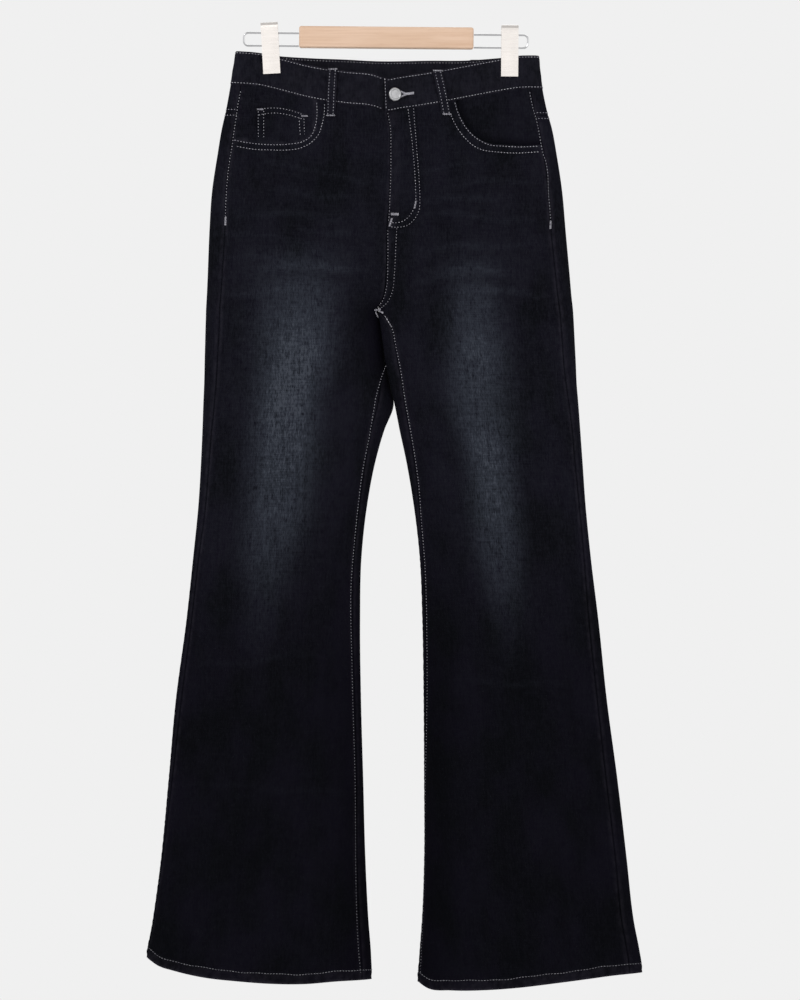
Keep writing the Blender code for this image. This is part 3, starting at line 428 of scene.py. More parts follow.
def back_level(s, level):
    """Give a back panel's level, which follows the yoke seam near the top."""
    slope = np.clip((YOKE_END - level) / (YOKE_END - YOKE_SIDE), 0, 1)**1.5
    return level + (yoke_level(s) - YOKE_SIDE) * slope


def outseam_s(side, level):
    """Give s of the outseam, which lies on the front."""
    drop = sheared(side, 0.1, level)
    outer, inner = outline(side, True, drop)
    inset = section(side + "_outseam", drop) / abs(inner - outer)
    return math.acos(1 - 2 * inset) / math.pi


def inseam_s(side, level):
    """Give s of the inseam: the centre in the seat, on the front down the leg."""
    drop = sheared(side, 0.9, level)
    outer, inner = outline(side, True, drop)
    inset = max(section(side + "_inseam", drop), 0.0) / abs(inner - outer)
    return 1 - math.acos(1 - 2 * inset) / math.pi


def seam_trim(side, seam, level):
    """Give half the gap along a row, wider where the seam runs slantwise."""
    ends = []
    for near in (level - 1.5, level + 1.5):
        s = seam(side, near)
        ends.append(tube(side, s, sheared(side, s, near)))
    run = ends[1] - ends[0]
    return HALF_GAP * np.linalg.norm(run) / max(abs(run[2]), 0.1)


# ---------------------------------------------------------------- finer grids
EDGE_STEPS = np.array([0.0, 0.4, 0.9, 1.7])   # columns close to a sewn edge
EDGE_ROLL = 0.32             # how far a sewn edge rolls under
LIP = 0.3                    # ridge of the seam allowance beside a sewn edge
LIP_WIDTH = 7.0
PUCKER = 0.2                 # height of the puckers, where they are highest and their fall
PUCKER_PLACE = 4.0
PUCKER_WIDTH = 4.5
ROPE = 0.28                  # height of the roped hem's ridges
FRONT_COLUMNS = 52
BACK_COLUMNS = 60
ROW_STEP = 3.7
HEM_ROWS = 15
WELT = 0.45                  # the turned edge of a scoop stands this proud
WELT_WIDTH = 9.0


def spaced(side, start, end, drop_at, columns, trims):
    """Give a row's s values, even along the cloth but close at its ends, and the
    distance of each from the nearer end."""
    fine = np.linspace(start, end, FINE)
    points = tube(side, fine, drop_at(fine))
    steps = np.diff(points, axis=0)
    run = np.linalg.norm(steps, axis=1)
    length = np.concatenate([[0.0], np.cumsum(run)])
    ways = steps / np.maximum(run, 1e-9)[:, None]
    bends = np.linalg.norm(np.diff(ways, axis=0), axis=1)
    bend = np.concatenate([[0.0], np.cumsum(bends), [np.sum(bends)]])
    measure = length + TURN_WEIGHT * bend
    near = trims[0] + EDGE_STEPS
    far = (length[-1] - trims[1] - EDGE_STEPS)[::-1]
    inner = np.interp([near[-1], far[0]], length, measure)
    middle = np.interp(np.linspace(inner[0], inner[1], columns + 1), measure, length)
    at = np.concatenate([near[:-1], middle, far[1:]])
    return np.interp(at, length, fine), np.minimum(at - near[0], far[-1] - at)


def s_from_x(side, face, x, drop):
    """Give s of the place at this x on the front or the back."""
    outer, inner = outline(side, np.array(face == "front"), np.asarray(drop, float))
    turn = np.arccos(1 - 2 * np.clip((x - outer) / (inner - outer), 0, 1)) / math.pi
    return turn if face == "front" else 2 - turn


def front_row(side, level):
    trim = 0.0 if level < CROTCH else seam_trim(side, inseam_s, level)
    end = min(inseam_s(side, level), 0.999999)
    return spaced(side, outseam_s(side, level), end,
                  lambda s: sheared(side, s, level), FRONT_COLUMNS, (HALF_GAP, trim))


def back_row(side, level, level_at=back_level):
    trim = 0.0 if level < CROTCH else seam_trim(side, inseam_s, level)
    return spaced(side, inseam_s(side, level), 2 + outseam_s(side, level),
                  lambda s: sheared(side, s, level_at(s, level)),
                  BACK_COLUMNS, (trim, HALF_GAP))


def rows_between(first, last):
    """Give levels from first to last, closer together in the hem."""
    hem = HEM - 2 * HEM_WIDTH
    body = np.linspace(first, hem, int((hem - first) / ROW_STEP) + 1)
    return np.concatenate([body, np.linspace(hem, last, HEM_ROWS)[1:]])


def rolled(distance):
    """Give the lift of the cloth beside a sewn edge: rolled under, then a ridge."""
    roll = np.clip(1 - distance / EDGE_STEPS[-1], 0, 1)**2
    ridge = bell(distance - LIP_WIDTH / 2, LIP_WIDTH / 2)
    return LIP * ridge - EDGE_ROLL * roll


def puckered(distance, along):
    """Give the small waves that a tight seam draws into the cloth beside it."""
    wave = np.sin(along * 0.62 + 1.7 * np.sin(along * 0.083) + 0.9 * np.sin(along * 0.031))
    return PUCKER * wave * bell(distance - PUCKER_PLACE, PUCKER_WIDTH)


def hem_lifts(level):
    turned = ease((level - (HEM - 2 * HEM_WIDTH)) / HEM_WIDTH)
    return HEM_OUT * turned, -CLOTH - HEM_IN * turned


def hem_rope(s, level):
    """Give the slanting ridges that twist round a turned hem."""
    width = 250.0
    slant = place(s)[1] * width + (level - HEM) * 0.9
    wave = np.sin(slant * 0.66 + 1.3 * np.sin(slant * 0.071))
    band = np.clip((level - (HEM - HEM_WIDTH)) / 4.0, 0, 1) * np.clip((HEM - level) / 2, 0.3, 1)
    return ROPE * wave * band


# ---------------------------------------------------------------- fades and tone
PIXEL = 1.13                 # mm of the garment for one pixel of the photograph
PIXEL_X = 386.5
PIXEL_Y = 27.0
FADE_COLUMNS = ("py", "px", "spread_in", "spread_out", "strength")
FADES = {                    # the worn band down each thigh
    "right": ((235, 305, 38, 44, 0.00), (262, 304, 38, 44, 0.22), (285, 302, 36, 42, 0.40),
              (300, 301, 35, 40, 0.53), (325, 300, 33, 38, 0.73), (350, 299, 32, 36, 0.92),
              (375, 296, 30, 34, 0.95), (400, 290, 28, 31, 1.00), (425, 287, 29, 31, 0.94),
              (450, 284, 31, 31, 0.82), (480, 280, 31, 29, 0.69), (510, 276, 32, 27, 0.63),
              (540, 270, 30, 25, 0.51), (560, 266, 28, 23, 0.41), (600, 265, 22, 20, 0.18),
              (640, 258, 18, 16, 0.06), (700, 256, 10, 10, 0.00)),
    "left": ((240, 471, 22, 30, 0.00), (262, 471, 24, 30, 0.14), (285, 472, 24, 28, 0.31),
             (300, 473, 23, 26, 0.45), (325, 474, 24, 27, 0.53), (350, 477, 27, 27, 0.67),
             (375, 476, 27, 29, 0.67), (400, 475, 25, 32, 0.59), (425, 479, 22, 31, 0.63),
             (450, 485, 20, 26, 0.77), (475, 490, 20, 23, 0.70), (500, 493, 22, 22, 0.63),
             (525, 495, 21, 22, 0.59), (550, 498, 21, 22, 0.52), (575, 501, 19, 20, 0.41),
             (600, 504, 18, 19, 0.25), (630, 507, 15, 16, 0.09), (680, 510, 10, 10, 0.00)),
}
FADE_POWER = 2.6             # how square the band is across
BACK_FADE = 0.55             # the backs are less worn
WHISKER_COLUMNS = ("x", "drop", "angle", "length", "width", "strength")
WHISKERS = (
    (-86, 272, 1, 58, 4.2, 0.17), (-150, 262, 5, 40, 3.4, 0.06), (-150, 236, 6, 44, 3.2, 0.06),
    (-70, 232, 9, 44, 3.4, 0.08), (-112, 214, 3, 60, 4.2, 0.08), (-84, 190, 5, 46, 4.0, 0.07),
    (-48, 172, 12, 34, 2.8, 0.07), (-132, 300, -3, 52, 3.6, 0.12),
    (96, 276, 0, 40, 4.6, 0.16), (64, 286, -4, 34, 4.0, 0.08), (136, 248, -7, 44, 3.2, 0.06),
    (70, 250, -5, 40, 4.0, 0.07), (104, 216, 5, 60, 4.0, 0.08), (84, 196, -4, 46, 4.0, 0.09),
    (128, 176, -2, 44, 3.2, 0.08), (120, 300, 4, 52, 3.6, 0.12),
    (70, 160, -6, 36, 2.8, 0.08), (-110, 158, 3, 40, 3.0, 0.06),
    (150, 742, 2, 60, 3.0, 0.06), (-152, 716, -6, 70, 3.4, 0.05), (-128, 860, 4, 80, 3.0, 0.04),
)
TONE_COLUMNS = ("drop", "tone")
TONES = ((28, 1.55), (66, 1.52), (150, 1.45), (280, 1.45), (420, 1.38), (560, 1.24),
         (640, 1.05), (715, 0.86), (860, 0.78), (1000, 0.74), (1090, 0.74))


def worn(side, face, x, drop):
    """Give how faded the cloth is: the thigh bands and the whiskers across the hips."""
    band = table(FADE_COLUMNS, FADES[side])
    path_drop = (band["py"] - PIXEL_Y) * PIXEL
    middle = smooth(path_drop, (band["px"] - PIXEL_X) * PIXEL, drop)
    inner = smooth(path_drop, band["spread_in"] * PIXEL, drop)
    outer = smooth(path_drop, band["spread_out"] * PIXEL, drop)
    strength = np.maximum(smooth(path_drop, band["strength"], drop), 0.0)
    outward_side = (x - middle) * AWAY[side] > 0
    spread = np.where(outward_side, outer, inner)
    fade = strength * np.exp(-np.abs((x - middle) / spread)**FADE_POWER)
    if face == "back":
        fade = BACK_FADE * fade
    marks = np.zeros(np.shape(fade))
    for row in WHISKERS:
        mark = dict(zip(WHISKER_COLUMNS, row))
        along, across = turned(mark, x, drop)
        width = mark["width"]
        across = across + 2.2 * np.sin(along * 0.07 + mark["x"])
        ridge = bell(across, width) - 0.5 * bell(across - 2.4 * width, width)
        marks = marks + mark["strength"] * ridge * np.exp(-(along / mark["length"])**4)
    return fade + (marks if face == "front" else 0.0)


def toned(drop):
    rows = table(TONE_COLUMNS, TONES)
    return smooth(rows["drop"], rows["tone"], drop)


# ---------------------------------------------------------------- materials
class Graph:
    """The nodes of a material or a world, made by a few short calls."""

    def __init__(self, owner):
        owner.use_nodes = True
        self.owner = owner
        self.tree = owner.node_tree

    def node(self, kind, **settings):
        node = self.tree.nodes.new("ShaderNode" + kind)
        for name, value in settings.items():
            setattr(node, name, value)
        return node

    def put(self, socket, value):
        """Join a socket to another, or set it to a number or a colour."""
        if isinstance(value, bpy.types.NodeSocket):
            self.tree.links.new(value, socket)
        elif socket.type == "RGBA":
            socket.default_value = (*value, 1.0)
        else:
            socket.default_value = value

    def attribute(self, name, output="Fac"):
        return self.node("Attribute", attribute_name=name).outputs[output]

    def place(self):
        return self.node("TexCoord").outputs["Object"]

    def stretched(self, vector, scale):
        node = self.node("VectorMath", operation="MULTIPLY")
        self.put(node.inputs[0], vector)
        self.put(node.inputs[1], scale)
        return node.outputs[0]

    def noise(self, vector, scale, detail, roughness=0.5):
        """Read noise that is stretched by a scale for each axis."""
        node = self.node("TexNoise")
        self.put(node.inputs["Vector"], self.stretched(vector, scale))
        for name, value in (("Scale", 1.0), ("Detail", detail), ("Roughness", roughness)):
            self.put(node.inputs[name], value)
        return node.outputs["Fac"]

    def waves(self, vector, scale, **inputs):
        node = self.node("TexWave", wave_type="BANDS", bands_direction="DIAGONAL")
        self.put(node.inputs["Vector"], vector)
        self.put(node.inputs["Scale"], scale)
        for name, value in inputs.items():
            self.put(node.inputs[name], value)
        return node.outputs["Fac"]

    def math(self, operation, first, second, clamp=False):
        node = self.node("Math", operation=operation, use_clamp=clamp)
        self.put(node.inputs[0], first)
        self.put(node.inputs[1], second)
        return node.outputs[0]

    def ranged(self, value, low, high, to_low=0.0, to_high=1.0):
        node = self.node("MapRange")
        for name, part in (("Value", value), ("From Min", low), ("From Max", high),
                           ("To Min", to_low), ("To Max", to_high)):
            self.put(node.inputs[name], part)
        return node.outputs["Result"]

    def mixed(self, factor, first, second):
        node = self.node("Mix", data_type="RGBA")
        for index, value in ((0, factor), (6, first), (7, second)):
            self.put(node.inputs[index], value)
        return node.outputs[2]

    def finished(self, colour, roughness, specular, height=None, depth=0.0, strength=1.0):
        """Set the shader from a colour and a height in metres, and give the material."""
        shader = self.tree.nodes["Principled BSDF"]
        for name, value in (("Base Color", colour), ("Roughness", roughness),
                            ("Specular IOR Level", specular)):
            self.put(shader.inputs[name], value)
        if height is not None:
            bump = self.node("Bump")
            for name, value in (("Height", height), ("Distance", depth),
                                ("Strength", strength)):
                self.put(bump.inputs[name], value)
            self.put(shader.inputs["Normal"], bump.outputs[0])
        return self.owner


BLACK = (0.0, 0.0, 0.0)
DENIM_DARK = (0.0036, 0.0038, 0.0056)
DENIM_VIOLET = (0.0050, 0.0040, 0.0092)
DENIM_LOFT = (0.0118, 0.0122, 0.0176)
DENIM_FADED = (0.0430, 0.0498, 0.0665)
DENIM_PALE = (0.082, 0.090, 0.110)
DENIM_WORN = (0.050, 0.045, 0.062)
DENIM_ROUGHNESS = 0.88
DENIM_NOISES = {             # stretch along the grain's axes, detail and roughness
    "slub": ((1.0, 0.5, 0.20), 5.0, 0.62),
    "streak": ((0.40, 0.3, 0.016), 3.0),
    "weft": ((0.07, 0.3, 0.75), 3.0),
    "mottle": ((0.16, 0.16, 0.11), 3.0),
    "cloud": ((0.022, 0.03, 0.012), 3.0),
    "fleck": ((1.3, 1.3, 0.55), 1.0),
}
UNEVEN = (("weft", 0.34, 0.70, 0.20), ("mottle", 0.34, 0.68, 0.18),    # noise, its low
          ("streak", 0.36, 0.66, 0.15), ("slub", 0.34, 0.70, 0.575))   # and high, swing
LOFT = 0.34                  # share of paler yarn in plain cloth,
LOFT_UNEVEN = 0.44           # how much of the unevenness it shows
LOFT_CLOUD = 0.18            # and how much it changes over a hand's breadth
FLECKS = 0.12                # strength of the pale neps,
TWILL_SHADE = 0.22           # of the dark lines of the twill
TWILL_RELIEF = 0.30          # and of the twill
SLUB_RELIEF = 0.70           # and the slubs in the relief
TWILL_PITCH = 0.32
DENIM_RELIEF = 0.00022


def make_denim(name, specular):
    """Twill: dark warp over a paler weft that shows where the cloth is worn."""
    graph = Graph(bpy.data.materials.new(name))
    grain = graph.attribute("grain", "Vector")
    fade, tone, wear = (graph.attribute(mark) for mark in ("fade", "tone", "wear"))
    noise = {kind: graph.noise(grain, *row) for kind, row in DENIM_NOISES.items()}
    twill = graph.waves(graph.stretched(grain, (1.0, 0.0, 1.0)), TWILL_PITCH,
                        Distortion=1.1, Detail=1.0)
    uneven = 0.0
    for kind, low, high, swing in UNEVEN:
        uneven = graph.math("ADD", uneven, graph.ranged(noise[kind], low, high, -swing, swing))
    # worn areas: the fade breaks up along the yarns
    share = graph.math("MULTIPLY", fade, graph.math("ADD", uneven, 1.0), clamp=True)
    # plain areas: faint streaks and clouds
    loft = graph.math("ADD", graph.math("MULTIPLY", uneven, LOFT_UNEVEN), graph.ranged(
        noise["cloud"], 0.3, 0.7, LOFT - LOFT_CLOUD, LOFT + LOFT_CLOUD))
    tinted = graph.mixed(graph.ranged(noise["cloud"], 0.36, 0.62), DENIM_DARK, DENIM_VIOLET)
    plain = graph.mixed(graph.math("MULTIPLY", tone, loft, clamp=True), tinted, DENIM_LOFT)
    faded = graph.mixed(graph.ranged(share, 0.75, 1.5), DENIM_FADED, DENIM_PALE)
    colour = graph.mixed(share, plain, faded)
    colour = graph.mixed(graph.ranged(noise["fleck"], 0.66, 0.82, 0.0, FLECKS),
                         colour, DENIM_PALE)
    rub = graph.math("MULTIPLY", wear, graph.ranged(noise["mottle"], 0.36, 0.62, 0.25, 1.0),
                     clamp=True)
    colour = graph.mixed(rub, colour, DENIM_WORN)
    colour = graph.mixed(graph.ranged(twill, 0.0, 1.0, 0.0, TWILL_SHADE), colour, BLACK)
    # darken toward black where the tone is low: the darker lower legs, and painted shade beside
    # the inner fold, in the crotch hollow and under the scoops' edges
    colour = graph.mixed(graph.ranged(tone, 0.2, 1.25, 0.62, 0.0), colour, BLACK)
    height = graph.math("ADD", graph.math("MULTIPLY", twill, TWILL_RELIEF),
                        graph.math("MULTIPLY", noise["slub"], SLUB_RELIEF))
    return graph.finished(colour, DENIM_ROUGHNESS, specular, height, DENIM_RELIEF, 0.5)


THREAD_SHADES = ((0.26, 0.25, 0.30), (0.66, 0.65, 0.70))
THREAD_PLY = (0.20, 0.195, 0.23)
THREAD_DIM = (0.012, 0.012, 0.016)


def make_thread_material():
    """Plied cotton-wrapped thread: pale grey with a faint lilac cast."""
    graph = Graph(bpy.data.materials.new("thread"))
    grain = graph.attribute("grain", "Vector")
    vary = graph.noise(grain, (0.25, 0.25, 1.9), 2.0)
    ply = graph.waves(grain, 1.1)
    pale = graph.mixed(graph.ranged(vary, 0.36, 0.64), *THREAD_SHADES)
    shade = graph.mixed(graph.ranged(ply, 0.0, 1.0, 0.0, 0.35), pale, THREAD_PLY)
    dimmed = graph.mixed(graph.attribute("tone"), THREAD_DIM, shade)
    return graph.finished(dimmed, 0.7, 0.2, ply, 0.0001, 0.6)


WOOD_SHADES = ((0.74, 0.51, 0.36), (0.83, 0.60, 0.45))
WOOD_GRAIN = (0.60, 0.36, 0.22)
WOOD_PORES = (0.50, 0.29, 0.17)


def make_wood():
    """Pale straight-grained hardwood with a satin finish."""
    graph = Graph(bpy.data.materials.new("pale_hardwood"))
    place_in = graph.place()
    grain = graph.noise(place_in, (14, 260, 420), 5.0, 0.6)
    pore = graph.noise(place_in, (70, 1500, 2200), 2.0)
    figure = graph.noise(place_in, (9, 40, 70), 2.0)
    base = graph.mixed(graph.ranged(figure, 0.3, 0.7), *WOOD_SHADES)
    lined = graph.mixed(graph.ranged(grain, 0.42, 0.66, 0.0, 0.38), base, WOOD_GRAIN)
    dotted = graph.mixed(graph.ranged(pore, 0.60, 0.76, 0.0, 0.30), lined, WOOD_PORES)
    return graph.finished(dotted, 0.48, 0.35, grain, 0.0001, 0.35)


METAL_COLUMNS = ("nodes", "name", "colour", "roughness", "brush")
METALS = (
    (("hanger_clip_right", "hanger_clip_left"), "champagne_metal", (0.98, 0.925, 0.88), 0.30,
     (40, 40, 900)),
    (("hanger_wire_right", "hanger_wire_left"), "bright_steel", (0.60, 0.60, 0.61), 0.14,
     (40, 40, 900)),
    (("button",), "satin_silver", (0.47, 0.47, 0.48), 0.36, (300, 300, 300)),
)


def make_metal(name, colour, roughness, brush):
    """Satin metal with fine brush lines and faint smears."""
    graph = Graph(bpy.data.materials.new(name))
    place_in = graph.place()
    lines = graph.noise(place_in, brush, 3.0)
    smear = graph.noise(place_in, (60, 60, 26), 2.0)
    smeared = graph.mixed(graph.ranged(smear, 0.35, 0.7), colour,
                          tuple(0.93 * part for part in colour))
    polish = graph.ranged(lines, 0.3, 0.7, roughness - 0.06, roughness + 0.08)
    made = graph.finished(smeared, polish, 0.5, lines, 0.00002, 0.4)
    graph.tree.nodes["Principled BSDF"].inputs["Metallic"].default_value = 1.0
    return made


# ---------------------------------------------------------------- shells
def set_mark(mesh, mark, values):
    """Store one number or one vector for each point of a mesh."""
    vector = values.ndim == 2
    kept = mesh.attributes.get(mark) or mesh.attributes.new(
        mark, "FLOAT_VECTOR" if vector else "FLOAT", "POINT")
    kept.data.foreach_set("vector" if vector else "value",
                          values.astype(np.float32).ravel())


def as_object(name, verts, faces, slots, face_slots, marks, sharp=50):
    """Make an object from arrays, with its marks stored on its points."""
    mesh = bpy.data.meshes.new(name)
    mesh.from_pydata(np.asarray(verts * MM).tolist(), [], faces)
    for made in slots:
        mesh.materials.append(made)
    mesh.polygons.foreach_set("material_index", np.asarray(face_slots, np.int32))
    for mark, values in marks.items():
        set_mark(mesh, mark, values)
    mesh.update()
    mesh.shade_smooth()
    mesh.set_sharp_from_angle(angle=math.radians(sharp))
    thing = bpy.data.objects.new(name, mesh)
    bpy.context.scene.collection.objects.link(thing)
    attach(thing, "root")
    return thing


def signed_volume(verts, faces):
    corners = verts[np.array(faces)]
    first = np.einsum("ij,ij->i", corners[:, 0], np.cross(corners[:, 1], corners[:, 2]))
    second = np.einsum("ij,ij->i", corners[:, 0], np.cross(corners[:, 2], corners[:, 3]))
    return (first + second).sum()


def shell(name, outer, inner, slots, marks, sharp=50):
    """Close two matching grids of points into one thin wall."""
    rows, columns = outer.shape[:2]
    count = rows * columns
    index = np.arange(count).reshape(rows, columns)
    quads = np.stack([index[:-1, :-1], index[:-1, 1:], index[1:, 1:], index[1:, :-1]],
                     axis=-1).reshape(-1, 4)
    rim = np.concatenate([index[0, :-1], index[:-1, -1], index[-1, :0:-1], index[:0:-1, 0]])
    ahead = np.roll(rim, -1)
    sides = np.stack([ahead, rim, rim + count, ahead + count], axis=-1)
    faces = np.concatenate([quads, quads[:, ::-1] + count, sides])
    verts = np.concatenate([outer.reshape(-1, 3), inner.reshape(-1, 3)])
    if signed_volume(verts, faces) < 0:
        faces = faces[:, ::-1]
    face_slots = np.zeros(len(faces), int)
    if len(slots) > 1:
        face_slots[len(quads):2 * len(quads)] = 1
    both = {mark: np.concatenate([values.ravel(), values.ravel()])
            for mark, values in marks.items()}
    both["grain"] = grained(verts)
    return as_object(name, verts, faces.tolist(), slots, face_slots, both, sharp)


GRAIN_LEAN = (-0.045, 0.08)  # the grain of each leg leans this much outward


def grained(verts):
    """Give each point's place along the cloth's grain, which follows each leg."""
    down = np.maximum(-verts[:, 2] - CROTCH, 0.0)
    lean = np.where(verts[:, 0] < 0, GRAIN_LEAN[0], GRAIN_LEAN[1])
    return np.stack([verts[:, 0] - lean * down, verts[:, 1], verts[:, 2]], axis=-1)


def layer(side, s, drop, lift_out, lift_in):
    """Give the outer and inner points of a stretch of cloth."""
    return lifted(side, s, drop, lift_out), lifted(side, s, drop, lift_in)


# How rubbed the cloth is near an edge: strength, the peak's distance and width, mm.
WEAR = {"seam": (0.20, 1.9, 1.0), "hem": (0.60, 0.0, 1.6), "scoop": (0.35, 0.0, 1.3),
        "yoke": (0.20, 2.4, 1.5), "coin": (0.35, 0.0, 0.9), "band": (0.34, 0.0, 0.9),
        "fly": (0.30, 0.0, 1.2), "fly_row": (0.10, 5.5, 4.0)}
ROPE_WEAR = 0.35             # the ridges of the roped hem are rubbed,
HEM_WEAR = 0.13              # the turned hem is this much more rubbed
INNER_PAINTED_SHADE = 0.30           # painted shade: how much the tone is lowered beside the inner fold
VALLEY_PAINTED_SHADE = 0.75          # and painted shadow in the hollow under the crotch


def rubbed(kind, distance):
    strength, peak, width = WEAR[kind]
    return strength * bell(distance - peak, width)


def cloth_marks(side, s, drop, wear):
    """Give the fade, the tone with its painted shade, and the wear of places on the surface."""
    on_front, _ = place(s)
    x = tube(side, s, drop)[..., 0]
    fade = np.where(on_front, worn(side, "front", x, drop), worn(side, "back", x, drop))
    from_inner = np.abs(x - outline(side, True, drop)[1])
    # painted shade: the tone is lowered beside the inner fold, and more on the right in the
    # hollow under the crotch
    inner = INNER_PAINTED_SHADE * bell(from_inner, 34) * ease((drop - 250) / 70)
    if side == "right":
        hollow_shade_mask = ease((drop - 300) / 30) * ease((445 - drop) / 70)
        inner = inner + VALLEY_PAINTED_SHADE * hollow_shade_mask * bell(from_inner, 17)
    return {"fade": fade, "tone": toned(drop) - inner,
            "wear": np.broadcast_to(wear, s.shape)}


def scoop_curve(side, steps=3):
    """Give the smooth edge of a scoop pocket's opening as (x, drop) points."""
    knots = np.array(SCOOPS[side])
    at = lengths(knots)
    fine = np.interp(np.arange(0, (len(knots) - 1) * steps + 1) / steps,
                     np.arange(len(knots)), at)
    return np.stack([smooth(at, knots[:, 0], fine), smooth(at, knots[:, 1], fine)], axis=1)


def distance_to(curve, x, drop):
    """Give the distance from places on a face to a curve drawn on it."""
    nearest = np.full(np.shape(x), 1e9)
    for (ax, ad), (bx, bd) in zip(curve[:-1], curve[1:]):
        run_x, run_d = bx - ax, bd - ad
        t = ((x - ax) * run_x + (drop - ad) * run_d) / max(run_x**2 + run_d**2, 1e-9)
        t = np.clip(t, 0, 1)
        gap = (x - ax - t * run_x)**2 + (drop - ad - t * run_d)**2
        nearest = np.minimum(nearest, gap)
    return np.sqrt(nearest)


def make_leg_panel(side, face, slots):
    front = face == "front"
    levels = rows_between(BAND_BOTTOM if front else YOKE_SIDE, HEM)
    row = front_row if front else back_row
    s, distance = (np.array(part) for part in zip(*[row(side, level) for level in levels]))
    level = levels[:, None]
    drop = sheared(side, s, level if front else back_level(s, level))
    drop[0] -= TUCK if front else -HALF_GAP
    out, inn = hem_lifts(level)
    rope = hem_rope(s, level)
    lift = out + rolled(distance) + puckered(distance, level) + rope
    wear = rubbed("seam", distance) + rubbed("hem", HEM - level)
    wear = wear + ROPE_WEAR * np.clip(rope, 0, 1)
    wear = wear + HEM_WEAR * ease((level - HEM + HEM_WIDTH + 1) / 2)
    if front:
        x = tube(side, s, drop)[..., 0]
        edge = distance_to(scoop_curve(side), x, drop)
        lift = lift + WELT * ease((WELT_WIDTH + 1 - edge) / 2.5)
        wear = wear + rubbed("scoop", edge)
    outer, inner = layer(side, s, drop, lift, inn + 0.4 * puckered(distance, level))
    marks = cloth_marks(side, s, drop, wear)
    made = shell(face + "_cloth_" + side, outer, inner, slots, marks)
    if front:
        cut_scoop(made, side)
    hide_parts(f"{face}_{side}_upper", f"{face}_{side}_lower")
    return made


def cut_scoop(cloth, side):
    """Cut the pocket's opening out of a front, and put its marks back."""
    past = -CUTTER_REACH if side == "right" else CUTTER_REACH
    edge = [tuple(point) for point in scoop_curve(side, 10)]
    loop = [(edge[0][0], CUTTER_TOP), *edge, (past, edge[-1][1]), (past, CUTTER_TOP)]
    count = len(loop)
    verts = np.array([(x, y, -drop) for y in (CUTTER_FRONT, CUTTER_REAR) for x, drop in loop])
    faces = [list(range(count)), list(range(2 * count - 1, count - 1, -1))]
    for i in range(count):
        j = (i + 1) % count
        faces.append([j, i, i + count, j + count])
    mesh = bpy.data.meshes.new("scoop")
    mesh.from_pydata((verts * MM).tolist(), [], faces)
    mesh.update()
    cutter = bpy.data.objects.new("scoop_cutter", mesh)
    bpy.context.scene.collection.objects.link(cutter)
    cut = cloth.modifiers.new("scoop", "BOOLEAN")
    cut.operation = "DIFFERENCE"
    cut.solver = "EXACT"
    cut.object = cutter
    depsgraph = bpy.context.evaluated_depsgraph_get()
    result = bpy.data.meshes.new_from_object(cloth.evaluated_get(depsgraph))
    old = cloth.data
    tree = KDTree(len(old.vertices))
    for vert in old.vertices:
        tree.insert(vert.co, vert.index)
    tree.balance()
    nearest = np.array([tree.find(vert.co)[1] for vert in result.vertices])
    for mark in ("fade", "tone", "wear"):
        values = np.empty(len(old.vertices), np.float32)
        old.attributes[mark].data.foreach_get("value", values)
        set_mark(result, mark, values[nearest])
    places = np.empty(len(result.vertices) * 3, np.float32)
    result.vertices.foreach_get("co", places)
    set_mark(result, "grain", grained(places.reshape(-1, 3) / MM))
    cloth.modifiers.clear()
    cloth.data = result
    bpy.data.objects.remove(cutter, do_unlink=True)


def yoke_row(side, step):
    """Give s, distance and drop of each column of a yoke, from waist (0) to seam (1)."""
    def level_at(s, _):
        return BAND_BOTTOM + (yoke_level(s) - BAND_BOTTOM) * step
    level = BAND_BOTTOM + (YOKE_SIDE - BAND_BOTTOM) * step
    s, distance = back_row(side, level, level_at)
    return s, distance, sheared(side, s, level_at(s, None))


def make_yoke(side, slots):
    steps = np.concatenate([np.linspace(0, 0.92, 12), [0.96, 0.985, 1.0]])
    s, distance, drop = (np.array(part) for part in zip(*[yoke_row(side, t) for t in steps]))
    drop[0] -= TUCK
    drop[-1] -= HALF_GAP
    down = drop[-1:] - drop
    lift = rolled(distance) - EDGE_ROLL * np.clip(1 - down / 2.4, 0, 1)**2
    outer, inner = layer(side, s, drop, lift, -CLOTH)
    made = shell("yoke_cloth_" + side, outer, inner, slots,
                 cloth_marks(side, s, drop, rubbed("yoke", distance)))
    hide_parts("yoke_" + side)
    return made


BAND_PROFILE_COLUMNS = ("down", "out", "inside")
BAND_PROFILE = (             # from the top edge down: lifts of the two faces
    (0.0, -0.55, -0.95), (0.15, -0.10, -1.45), (0.5, 0.30, -1.80), (1.2, 0.50, -1.95),
    (2.6, 0.40, -1.90), (4.4, 0.52, -1.95), (8.5, 0.55, -1.95), (13.0, 0.55, -1.95),
    (18.0, 0.56, -1.95), (23.0, 0.55, -1.95), (28.5, 0.55, -1.95), (33.6, 0.52, -1.95),
    (35.2, 0.38, -1.90), (36.6, 0.50, -1.92), (37.3, 0.30, -1.70), (37.78, -0.25, -1.30),
)
BAND_MIDDLE = -0.75
BAND_END_ROUND = 1.0


def band_ring():
    """Give the waistband's stations, from its upper end round to its lower end."""
    front = {side: front_row(side, BAND_BOTTOM)[0] for side in SIDES}
    rear = {side: yoke_row(side, 0.0)[0] for side in SIDES}
    lead = [("right", float(s_from_x("right", "front", OVERLAP_X + step, BAND_BOTTOM)))
            for step in (0.0, 0.25, 0.7, 1.4)]
    ring = lead + [("left", s) for s in front["left"][-2::-1]]
    ring += [("left", s) for s in rear["left"][-2::-1]]
    ring += [("right", s) for s in rear["right"][1:-1]]
    ring += [("right", s) for s in front["right"][:-1]]
    ring += [("right", float(s_from_x("right", "front", -1.0, BAND_BOTTOM)))]
    ring += [("left", float(s_from_x("left", "front", x, BAND_BOTTOM)))
             for x in (1.5, UNDERLAP_X - 3, UNDERLAP_X - 0.6, UNDERLAP_X)]
    return ring


